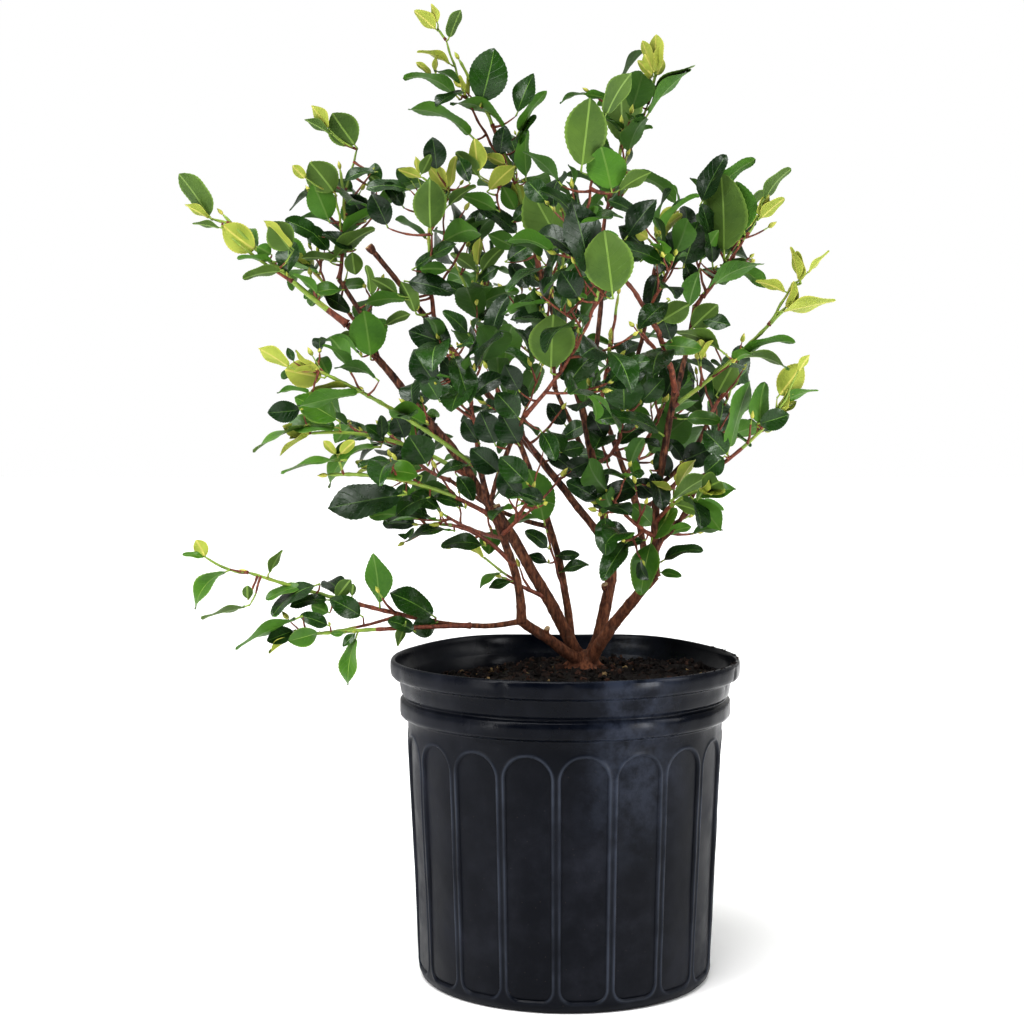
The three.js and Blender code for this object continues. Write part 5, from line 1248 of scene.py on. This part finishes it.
def leaf_piece(name, chosen, materials, replaces=()):
    """The blades of many leaves as one mesh, from one template."""
    quads, tris, quad_slots, tri_slots, rim = leaf_template()
    count = len(chosen)
    keys = ("root", "way", "face", "size", "bend", "fold", "sway", "wave", "breadth")
    points = blade_points(*(np.array([leaf[key] for leaf in chosen]) for key in keys))
    own_u = np.concatenate([(UPPER + 1) / 2, (UNDER + 1) / 2])
    own = np.stack(np.meshgrid(ROWS, own_u, indexing="ij"), -1)[..., ::-1].reshape(-1, 2)
    uv = np.tile(np.concatenate([[[0.5, 0], [0.5, 1]], own]), (count, 1))
    offsets = (np.arange(count) * LEAF_VERTS)[:, None, None]
    faces = [(part + offsets).reshape(-1, part.shape[1]) for part in (quads, tris)]
    slots = np.concatenate([np.tile(quad_slots, count), np.tile(tri_slots, count)])
    points, rims = points.reshape(-1, 3), np.tile(rim, count)
    make_piece(name, points, faces, materials, slots, uv, rims, replaces=replaces, slot="foliage")


def shape_leaf(leaf, number):
    """Gives a leaf its own sideways sway, waviness and fold, and if it isn't a leading one its drop, its
    turn to the sky, its bend and its breadth."""
    leaf["sway"] = 0.16 * (chance(number, 3, 3) - 0.5)
    leaf["wave"] = chance(number, 3, 4)
    leaf["fold"] = 0.12 + 0.42 * chance(number, 3, 2) ** 2
    if "kind" in leaf:
        leaf["fold"] *= 0.55
        return
    young = leaf["age"]
    leaf["fold"] += 0.25 * young
    leaf["breadth"] = 0.8 + 0.2 * chance(number, 3, 7)
    drop = 0.05 + 0.5 * chance(number, 3, 5) * (1 - young)
    leaf["way"] = unit(leaf["way"] - UP * drop)
    sky = leaf["face"] + UP * (0.2 + 0.8 * chance(number, 3, 6))
    leaf["face"] = unit(sky - leaf["way"] * sky.dot(leaf["way"]))
    leaf["bend"] = (0.5 + 0.95 * chance(number, 3, 1)) * (1 - 0.6 * young)


def add_young_leaves(tip):
    """The small leaves that have just opened at a green shoot's end: a spiral of three that point ahead."""
    if tip["green"] < 0.35 or room.in_window(tip["place"][None] + tip["heading"] * 12):
        return
    heading = tip["heading"]
    first = unit(np.cross(heading, [0.3, 0.9, 0.1]))
    second = np.cross(heading, first)
    for k in range(YOUNG["leaves"]):
        turn = 2.4 * k + TURN * chance(*tip["number"], 60)
        out = first * math.cos(turn) + second * math.sin(turn)
        lean = math.radians(YOUNG["spread"]) * (1.2 - 0.28 * k)
        way = heading * math.cos(lean) + out * math.sin(lean)
        face = unit(heading - way * heading.dot(way)) if lean > 0.05 else -out
        size = YOUNG["length"] * (0.75 + 0.5 * chance(*tip["number"], 61 + k)) * (1 - 0.18 * k)
        leaves.append({"root": tip["place"], "way": way, "face": face, "size": size, "age": 1.0})


for shoot_tip in tips:
    add_young_leaves(shoot_tip)
for leaf_number, one_leaf in enumerate(leaves):
    shape_leaf(one_leaf, leaf_number)


def age_of(leaf, number):
    """The age group of a leaf, from its greenness and its own chance."""
    if "kind" in leaf:
        return leaf["kind"]
    shade = leaf["age"] + 0.22 * (chance(number, 4, 1) - 0.5)
    if shade > 0.78:
        return "young"
    if shade > 0.42:
        return "fresh"
    return "mature" if chance(number, 4, 2) > 0.45 else "old"


mass_names = list(MASSES)
by_age = {age: [] for age in AGES}
for leaf_number, one_leaf in enumerate(leaves):
    by_age[age_of(one_leaf, leaf_number)].append(one_leaf)
finishes = {age: leaf_materials(age) for age in AGES}
for age, chosen in by_age.items():
    leaf_piece(f"foliage_{age}", chosen, finishes[age], mass_names if age == "mature" else ())


# ---------------------------------------------------------------- twigs, stalks and buds

def sweep(centres, side, rise, radii, sides):
    """A tube: each ring's points are centre + radius (side sin a + rise cos a), with a fan at both ends."""
    angle = np.arange(sides) * TURN / sides
    around = side[:, None] * np.sin(angle)[:, None] + rise[:, None] * np.cos(angle)[:, None]
    rings = (centres[:, None] + radii[..., None] * around).reshape(-1, 3)
    points = np.concatenate([rings, centres[:1], centres[-1:]])
    return points, grid_faces(len(centres), sides, True), end_faces(len(centres), sides)


def add_shoot(batch, shoot):
    """A stem or twig of a mass: it zigzags a little from node to node and swells at each node. Its outer
    part is green as far as its greenness says."""
    path, index, number = shoot["path"], shoot["index"], shoot["shoot"]
    steps = max(5, int(path.length() / 3.2))
    t = np.linspace(0, 1, steps)
    side, rise = path.across(t)
    travelled = t * path.length() / SHOOT["spacing"]
    zigzag = np.abs((travelled + chance(index, number + 2, 7)) % 2 - 1) - 0.5
    centres = path.at(t) + side * (zigzag * 1.3 * np.sin(math.pi * t))[:, None]
    swell = 1 + 0.28 * np.exp(-(((travelled - 0.35) % 1 - 0.5) / 0.12) ** 2)
    foot = 1 + 0.5 * np.exp(-t * path.length() / 4)
    radii = path.girth(t) * swell * foot * np.where(t > 0.999, 0.6, 1)
    points, quads, tris = sweep(centres, side, rise, radii[:, None], 6)
    ring_share = np.repeat(t[:-1], 6)
    slots = (ring_share > 1 - 0.95 * shoot["green"]).astype(int)
    batch.add(points, quads, tris, int(shoot["green"] > 0.2), quad_slots=slots)


def add_stalk(batch, leaf):
    """A leaf's stalk: a short tapering tube from its node to a little way under the blade."""
    rise_angle = leaf["bend"] / 2
    ahead = leaf["way"] * math.cos(rise_angle) + leaf["face"] * math.sin(rise_angle)
    below = leaf["face"] * math.cos(rise_angle) - leaf["way"] * math.sin(rise_angle)
    side = np.cross(ahead, below)
    t = np.array([0, 0.45, 1.0, 1.7])
    reach = t * leaf["size"] * BLADE["stalk"]
    centres = leaf["root"] + ahead * reach[:, None] - below * (0.35 * t**2)[:, None]
    radii = np.array([1.0, 0.72, 0.7, 0.35]) * (0.55 + 0.45 * leaf["size"] / LEAF["length"])
    points, quads, tris = sweep(centres, np.tile(side, (4, 1)), np.tile(below, (4, 1)), radii[:, None], 5)
    batch.add(points, quads, tris, 1)


def add_bud(batch, place, heading, scale):
    """A pointed bud: a spindle of radius sin(pi k^0.7) times its widest, with scales as a faint twist."""
    k = np.array([0, 0.12, 0.3, 0.5, 0.7, 0.86, 1.0])
    first = unit(np.cross(heading, [0.2, 0.3, 0.93]))
    radii = BUD["radius"] * scale * np.maximum(np.sin(math.pi * k**0.7), 0.05)
    twist = 1 + 0.09 * np.cos(np.arange(6) * TURN / 3 + k[:, None] * 6)
    centres = place + heading * (k * BUD["length"] * scale)[:, None]
    side, rise = np.tile(first, (len(k), 1)), np.tile(np.cross(heading, first), (len(k), 1))
    points, quads, tris = sweep(centres, rise, side, radii[:, None] * twist, 6)
    batch.add(points, quads, tris)


twig_batch, stalk_batch, bud_batch = Batch(), Batch(), Batch()
for one_shoot in shoots:
    add_shoot(twig_batch, one_shoot)
for one_leaf in leaves:
    add_stalk(stalk_batch, one_leaf)
for shoot_tip in tips:
    bud_scale = 0.8 + 0.4 * chance(*shoot_tip["number"], 3)
    add_bud(bud_batch, shoot_tip["place"], shoot_tip["heading"], bud_scale)
for leaf_number, one_leaf in enumerate(leaves):
    if one_leaf["age"] < 0.6 and chance(leaf_number, 5, 1) > 0.7:
        bud_way = unit(one_leaf["way"] + one_leaf["face"] * 1.4)
        add_bud(bud_batch, one_leaf["root"] + one_leaf["face"] * 1.2, bud_way, 0.55)
twig_batch.piece("twigs", [twig_finish(), green_finish()], slot="bark")
stalk_batch.piece("leaf_stalks", [twig_finish(), green_finish()], slot="foliage")
bud_batch.piece("buds", [bud_finish()], slot="foliage")


# ---------------------------------------------------------------- stems and boughs

def bark_relief(centres, radii, sides, seed):
    """How far the bark stands out, as a share of the radius: ridges that run along the stem, finer pits,
    and a swollen ring at every old node. The ridges are ripples on a cylinder that is stretched eight times
    along its axis."""
    angle = np.arange(sides) * TURN / sides
    run = np.concatenate([[0], np.cumsum(np.linalg.norm(np.diff(centres, axis=0), axis=1))])
    around = np.stack([np.cos(angle), np.sin(angle)], 1)
    along = np.broadcast_to(run[:, None, None] / 8, (len(run), sides, 1))
    surface = np.concatenate([radii[:, None, None] * around, along], 2)
    ridges = ripple(surface, 2.6, seed)
    pits = ripple(surface * [1, 1, 3], 1.3, seed + 1)
    rings = np.exp(-(((run / 21 + seed * 0.37) % 1 - 0.5) / 0.07) ** 2)
    return 0.06 * ridges + 0.035 * pits + 0.09 * rings[:, None]


def add_limb(batch, path, seed, flare, sides=20):
    """A limb's bark: a tube with relief, a flare at its foot, and a slow wander between its ends."""
    steps = max(8, int(path.length() / 1.8))
    t = np.linspace(0, 1, steps)
    side, rise = path.across(t)
    centres = path.at(t)
    wander = np.sin(math.pi * t)[:, None] * 0.35 * path.girth(t)[:, None]
    sideways, upwards = ripple(centres, 60, seed)[:, None], ripple(centres, 48, seed + 9)[:, None]
    centres = centres + wander * (side * sideways + rise * upwards)
    radii = path.girth(t) * (1 + flare * np.exp(-t * path.length() / (1.6 * path.thick)))
    relief = bark_relief(centres, radii, sides, seed)
    points, quads, tris = sweep(centres, side, rise, radii[:, None] * (1 + relief), sides)
    batch.add(points, quads, tris)


def add_cut_head(batch, path, girth):
    """The swollen end of a pruned stub: a collar of bark closed by a rough cut that shows pale wood."""
    t = np.array([0, 0.25, 0.6, 0.9, 1.0])
    side, rise = path.across(np.ones(5))
    way = unit(path.tip - path.foot)
    centres = path.tip + way * (t[:, None] * 2.2 * girth - 1.4 * girth)
    radii = girth * np.array([0.62, 0.86, 1.05, 1.0, 0.86])
    points, quads, tris = sweep(centres, side, rise, radii[:, None], 12)
    rough = 0.5 * ripple(points, 2.4, 31) * (np.arange(len(points)) > 23)
    points = points + way * rough[:, None]
    batch.add(points, quads, tris, 1, quad_slots=np.repeat([0, 0, 0, 1], 12))


def add_root_crown(batch):
    """The root crown: a lobed mound that flares into the soil, with radius flare to waist as exp(-5 k), and
    lobes where the stems leave it."""
    rows, sides = CROWN["rows"], CROWN["sides"]
    angle = np.arange(sides) * TURN / sides
    k = np.linspace(0, 1, rows)[:, None]
    spread = CROWN["waist"] - 2.5 * k + (CROWN["flare"] - CROWN["waist"]) * np.exp(-5 * k)
    lobes = 1 + 0.1 * np.cos(4 * angle + 0.6) * (1 - 0.4 * k) + 0.05 * np.cos(7 * angle)
    dome = np.where(k > 0.8, np.sqrt(np.maximum(0, 1 - ((k - 0.8) / 0.2) ** 2)) * 0.97 + 0.03, 1)
    radius = spread * lobes * dome
    height = CROWN["z"] - 0.4 + k * CROWN["height"] * 0.95
    x = CROWN["x"] + 1.12 * radius * np.sin(angle)
    y = CROWN["y"] + radius * np.cos(angle)
    points = np.stack([x, y, np.broadcast_to(height, x.shape)], -1)
    middle = points.mean(1, keepdims=True)
    points = middle + (points - middle) * (1 + 0.05 * ripple(points * [1, 1, 0.3], 6, 77))[..., None]
    closed = np.concatenate([points.reshape(-1, 3), middle[0], middle[-1]])
    batch.add(closed, grid_faces(rows, sides, True), end_faces(rows, sides))


bark = bark_finish()
stem_batch, bough_batch, stub_batch = Batch(), Batch(), Batch()
add_root_crown(stem_batch)
for limb_number, (limb_name, limb) in enumerate(limbs.items()):
    batch = stem_batch if limb_name.startswith("stem") else bough_batch
    add_limb(batch, limb, limb_number * 3 + 1, 0.28)
for stub_number, (limb_name, share, run, girth) in enumerate(STUBS):
    stub_foot = limbs[limb_name].at(share)
    stub = Path(stub_foot, stub_foot + run, [1, 0, 0], girth, 0.85 * girth)
    add_limb(stub_batch, stub, 200 + stub_number, 0.4, 14)
    add_cut_head(stub_batch, stub, 1.45 * girth)
stem_names = [name for name in limbs if name.startswith("stem")]
bough_names = [name for name in limbs if name.startswith("bough")]
stem_batch.piece("stems_bark", [bark], slot="bark", replaces=["root_crown", *stem_names])
bough_batch.piece("boughs_bark", [bark], slot="bark", replaces=bough_names)
stub_batch.piece("pruned_stubs", [bark, cut_finish()], slot="bark")


# ---------------------------------------------------------------- pot

def flute_press(angle, height):
    """How far the wall is pressed in: the flute's depth where a point lies more than the slope's width
    inside a panel with an arch for a head and rounded lower corners, falling smoothly to nothing at its
    edge. Also the share of the bead that runs round the panel, exp(-(inside + 0.8)^2)."""
    pitch = TURN / FLUTE["count"]
    local = (angle - math.radians(FLUTE["turned"]) + pitch / 2) % pitch - pitch / 2
    x = np.abs(local * FLUTE["radius"])
    half = FLUTE["width"] / 2
    arch = FLUTE["top"] - half
    inside = half - np.where(height > arch, np.hypot(x, height - arch), x)
    corner = FLUTE["corner"]
    below = np.maximum(FLUTE["foot"] + corner - height, 0)
    inside = np.minimum(inside, corner - np.hypot(np.maximum(x - half + corner, 0), below))
    bead = np.exp(-((inside + 0.8) ** 2)) * smooth(FLUTE["foot"] - 3, FLUTE["foot"] + 3, height)
    return FLUTE["depth"] * smooth(0, FLUTE["slope"], inside), bead


def pot_profile():
    """The wall's outline: the base's chamfer, the fluted body in close rows, the neck, bead and lip, and
    the inside."""
    foot_rows, arch_rows = np.arange(7, 22, 1.25), np.arange(163, 189.5, 1.0)
    rows = np.concatenate([foot_rows, np.linspace(26, 161, 24), arch_rows, [191.5]])
    low, high = POT_BASE[-1], POT_NECK[0]
    body = [[low[0] + (high[0] - low[0]) * (z - low[1]) / (high[1] - low[1]), z] for z in rows]
    return np.array(POT_BASE + body + POT_NECK + POT_INSIDE)


def make_pot():
    """The pot: its profile turned through 39 columns a flute, closer at a panel's edges, then pressed in by
    the flutes, dented at the lip, and made slightly uneven as moulded plastic is."""
    profile = pot_profile()
    pitch = TURN / FLUTE["count"]
    edge = FLUTE["width"] / 2 / FLUTE["radius"]
    shares = np.concatenate([[0, 0.2], np.linspace(0.36, 0.82, 8), np.linspace(0.87, 1.1, 9)])
    half = np.append(edge * shares, pitch / 2 * 0.97)
    local = np.concatenate([-half[::-1], half[1:]])
    angle = (math.radians(FLUTE["turned"]) + np.arange(FLUTE["count"])[:, None] * pitch + local).ravel()
    radius = np.broadcast_to(profile[:, :1], (len(profile), len(angle))).copy()
    height = np.broadcast_to(profile[:, 1:], radius.shape).copy()
    outside = np.arange(len(profile)) < len(profile) - len(POT_INSIDE) - 16
    pressed, bead = flute_press(angle, height)
    pressed = pressed - FLUTE["bead"] * bead
    fluted = outside[:, None] & (height > 5) & (height < 191)
    radius -= np.where(fluted, pressed, 0)
    bead = np.where(fluted, bead, 0)
    upright = smooth(0, 20, radius)
    surface = np.stack([radius * np.sin(angle), -radius * np.cos(angle), height * 0.6], -1)
    wobble = np.where(height < 196, 0.35, 0.25) * ripple(surface, 70, 5) + 0.12 * ripple(surface, 22, 6)
    radius += wobble * upright * smooth(2, 20, height)
    for degrees, depth in LIP_DENTS:
        off = ((angle - math.radians(degrees + 90) + math.pi) % TURN - math.pi) * 130
        on_lip = smooth(224, 229, height) * (1 - smooth(236, 241, height))
        radius -= depth * 0.5 * np.exp(-((off / 3) ** 2)) * on_lip
    for degrees in LIP_RISES:
        off = (angle - math.radians(degrees) + math.pi) % TURN - math.pi
        height += LIP_RISE * np.exp(-((off / 0.42) ** 2)) * smooth(222, 242, height)
    points = np.stack([radius * np.sin(angle), -radius * np.cos(angle), height], -1)
    columns = len(angle)
    rows = len(points) - 2
    closed = np.concatenate([points[1:-1].reshape(-1, 3), points[:1, 0], points[-1:, 0]])
    faces = [grid_faces(rows, columns, True), end_faces(rows, columns)]
    # The own map: each point's angle, and its bead share, which places the painted highlights on the beads.
    own = np.stack([np.broadcast_to(angle / TURN, bead.shape), bead], -1)
    own = np.concatenate([own[1:-1].reshape(-1, 2), np.zeros((2, 2))])
    make_piece("pot_shell", closed, faces, [pot_finish()], uv=own, replaces=["pot"], slot="pot_plastic")


make_pot()

# ---------------------------------------------------------------- potting mix

def soil_height(x, y):
    """The soil's top: it falls from the root crown's seat to the wall, rises to the right, and is lumpy."""
    away = smooth(SOIL["seat"], SOIL["radius"], np.hypot(x - CROWN["x"] * 0.8, y - CROWN["y"] * 0.8))
    slope = SOIL["crown"] + (SOIL["edge"] - SOIL["crown"]) * away + SOIL["rise"] * away * x / SOIL["radius"]
    across, along = (x - HEAP["x"]) / HEAP["wide"], (y - HEAP["y"]) / HEAP["deep"]
    heap = HEAP["rise"] * np.exp(-(across**2) - along**2)
    places = np.stack([x, y], -1)
    lumps = 1.5 * ripple(places, 34, 21) + 0.9 * ripple(places, 13, 22) + 0.55 * ripple(places, 5, 23)
    return slope + heap + lumps * (0.3 + 0.7 * away)


def make_soil():
    """The soil's body: rings of the top, then the wall and the floor, 0.3 mm or more clear of the pot."""
    sides = SOIL["sides"]
    angle = np.arange(sides) * TURN / sides
    r = np.linspace(3, SOIL["radius"] - 1, 38)[:, None]
    x, y = r * np.sin(angle), -r * np.cos(angle)
    top = np.stack([x, y, soil_height(x, y)], -1)
    radius, height = np.array(SOIL_WALL)[:, :1], np.array(SOIL_WALL)[:, 1:]
    wall = np.stack(np.broadcast_arrays(radius * np.sin(angle), -radius * np.cos(angle), height), -1)
    rows = len(top) + len(wall)
    middle = [0, 0, soil_height(np.array(0.0), np.array(0.0))]
    bottom = [0, 0, SOIL_WALL[-1][1]]
    closed = np.concatenate([top.reshape(-1, 3), wall.reshape(-1, 3), [middle, bottom]])
    faces = [grid_faces(rows, sides, True)[:, ::-1], end_faces(rows, sides)[:, [1, 0, 2]]]
    finish = mix_finish("potting_mix", srgb(14, 11, 10), srgb(36, 28, 25))
    make_piece("soil_body", closed, faces, [finish], replaces=["soil"], slot="potting_soil")


CUBE = np.array([[x, y, z] for x in (-1, 1) for y in (-1, 1) for z in (-1, 1)], float)
CUBE_QUADS = np.array([[0, 1, 3, 2], [4, 6, 7, 5], [0, 4, 5, 1], [2, 3, 7, 6], [0, 2, 6, 4], [1, 5, 7, 3]])


def make_chips():
    """Chips of ground bark: blocks with every corner moved, turned by random rotations, thrown on the
    soil's top and half sunk, and a few crumbs on the lip."""
    dice = np.random.default_rng(11)
    count = CHIPS["count"]
    r = np.sqrt(dice.uniform(0.0, 1.0, count)) * (SOIL["radius"] - 3)
    a = dice.uniform(0, TURN, count)
    x, y = r * np.sin(a), -r * np.cos(a)
    size = CHIPS["long"][0] + (CHIPS["long"][1] - CHIPS["long"][0]) * dice.uniform(0, 1, count) ** 2.6
    centre = np.stack([x, y, soil_height(x, y) + 0.12 * size], -1)
    lip = dice.uniform(*np.radians(CRUMBS["angle"]), CRUMBS["count"])
    lip_r = dice.uniform(*CRUMBS["radius"], CRUMBS["count"])
    lip_z = dice.uniform(*CRUMBS["height"], CRUMBS["count"])
    centre = np.concatenate([centre, np.stack([lip_r * np.sin(lip), -lip_r * np.cos(lip), lip_z], -1)])
    size = np.concatenate([size, dice.uniform(*CRUMBS["long"], CRUMBS["count"])])
    total = len(size)
    thinnest, thickest = CHIPS["flat"]
    shape = dice.uniform([1, 0.35, thinnest], [1, 0.75, thickest], (total, 3)) * (size / 2)[:, None]
    corners = CUBE * dice.uniform(0.55, 1.1, (total, 8, 1)) * shape[:, None]
    turns = dice.normal(size=(total, 4)) * [1, 0.45, 0.45, 1]
    w, i, j, k = unit(turns).T
    rotation = np.stack([
        np.stack([1 - 2 * (j * j + k * k), 2 * (i * j - k * w), 2 * (i * k + j * w)], -1),
        np.stack([2 * (i * j + k * w), 1 - 2 * (i * i + k * k), 2 * (j * k - i * w)], -1),
        np.stack([2 * (i * k - j * w), 2 * (j * k + i * w), 1 - 2 * (i * i + j * j)], -1),
    ], 1)
    points = np.einsum("nab,nkb->nka", rotation, corners) + centre[:, None]
    faces = (CUBE_QUADS + (np.arange(total) * 8)[:, None, None]).reshape(-1, 4)
    slots = np.repeat(dice.choice(4, total, p=CHIPS["shares"]), 6)
    browns = [
        mix_finish("chips_black", srgb(14, 11, 11), srgb(32, 25, 23)),
        mix_finish("chips_brown", srgb(30, 22, 19), srgb(56, 42, 36)),
        mix_finish("chips_red", srgb(50, 32, 26), srgb(84, 58, 46)),
        mix_finish("chips_tan", srgb(104, 84, 58), srgb(160, 136, 98)),
    ]
    chips = make_piece("soil_chips", points.reshape(-1, 3), [faces], browns, slots, slot="potting_soil")
    chips.data.polygons.foreach_set("use_smooth", np.zeros(len(faces), bool))


make_soil()
make_chips()

# ---------------------------------------------------------------- stage, light and camera

# The light, in metres. The sun: place, strength, and spread in degrees. Softboxes: place, height of the
# point that they face, size and power. The sky: from and to which Y of a direction its strength goes from
# the third value to the fourth.
SUN = [(-0.3, -0.45, 1.6), 3.8, 44]
SOFTBOXES = {
    "softbox_left": [(-1.5, -1.3, 1.5), 0.45, (0.8, 1.3), 31],
    "softbox_right": [(1.7, -0.4, 1.2), 0.45, (0.6, 1.3), 16],
    "strip_right": [(1.15, -0.95, 0.34), 0.2, (0.2, 0.6), 9],
    "strip_left": [(-1.2, -0.95, 0.3), 0.2, (0.14, 0.6), 4],
}
SKY = [-0.5, 0.9, 0.055, 0.74]
GAMMA = 0.84


def make_floor():
    """A pale floor that spreads well past the view."""
    mesh = bpy.data.meshes.new("floor")
    mesh.from_pydata([(-9, -9, 0), (9, -9, 0), (9, 9, 0), (-9, 9, 0)], [], [(0, 1, 2, 3)])
    floor = bpy.data.objects.new("floor", mesh)
    bpy.context.scene.collection.objects.link(floor)
    finish = Finish("floor_white", 0.9, 0.1)
    stops = [(0.3, (0.93, 0.93, 0.93, 1)), (0.7, (0.95, 0.95, 0.95, 1))]
    finish.colour(finish.ramp(finish.noise(0.6), stops))
    mesh.materials.append(finish.material)


def add_lamp(light, place, aim):
    """Hangs a light at a place, facing a point."""
    lamp = bpy.data.objects.new(light.name, light)
    bpy.context.scene.collection.objects.link(lamp)
    away = unit(np.array(place, float) - np.array(aim, float))
    lamp.location = place
    lamp.rotation_euler = (math.acos(away[2]), 0, math.atan2(away[1], away[0]) + math.pi / 2)


def add_softbox(name, place, aim_height, size, power):
    """A large rectangular light that faces a point over the pot's middle."""
    light = bpy.data.lights.new(name, "AREA")
    light.shape = "RECTANGLE"
    light.size, light.size_y = size
    light.energy = power
    add_lamp(light, place, (0, 0, aim_height))


def add_sun(name, place, strength, spread):
    """A wide, even light from one side of the sky, which lights the whole floor alike."""
    light = bpy.data.lights.new(name, "SUN")
    light.energy = strength
    light.angle = math.radians(spread)
    add_lamp(light, place, (0, 0, 0))


def make_world():
    """White to the camera. As light it is dim in front of the shrub and bright behind it, by the
    direction's Y."""
    world = bpy.data.worlds.new("studio")
    bpy.context.scene.world = world
    world.use_nodes = True
    nodes, links = world.node_tree.nodes, world.node_tree.links
    seen = nodes["Background"]
    seen.inputs["Color"].default_value = (1, 1, 1, 1)
    seen.inputs["Strength"].default_value = 1.0
    lit = nodes.new("ShaderNodeBackground")
    lit.inputs["Color"].default_value = (1, 0.995, 0.97, 1)
    split = nodes.new("ShaderNodeSeparateXYZ")
    links.new(nodes.new("ShaderNodeTexCoord").outputs["Generated"], split.inputs["Vector"])
    fall = nodes.new("ShaderNodeMapRange")
    for key, number in zip(("From Min", "From Max", "To Min", "To Max"), SKY):
        fall.inputs[key].default_value = number
    links.new(split.outputs["Y"], fall.inputs["Value"])
    links.new(fall.outputs["Result"], lit.inputs["Strength"])
    choose = nodes.new("ShaderNodeMixShader")
    links.new(nodes.new("ShaderNodeLightPath").outputs["Is Camera Ray"], choose.inputs[0])
    links.new(lit.outputs[0], choose.inputs[1])
    links.new(seen.outputs[0], choose.inputs[2])
    links.new(choose.outputs[0], nodes["World Output"].inputs["Surface"])


def make_camera():
    """A level studio view from the front, a little above the crown's middle and tipped down."""
    camera = bpy.data.cameras.new("camera")
    camera.sensor_width = SENSOR
    camera.lens = SENSOR * VIEW["lens"] / (2 * VIEW["middle"])
    camera.clip_end = 30
    holder = bpy.data.objects.new("camera", camera)
    bpy.context.scene.collection.objects.link(holder)
    holder.location = EYE * MM
    holder.rotation_euler = (TILT, 0, 0)
    bpy.context.scene.camera = holder


make_floor()
make_world()
make_camera()
add_sun("sky_soft", *SUN)
for softbox, setting in SOFTBOXES.items():
    add_softbox(softbox, *setting)
bpy.context.scene.view_settings.view_transform = "Standard"
bpy.context.scene.view_settings.gamma = GAMMA
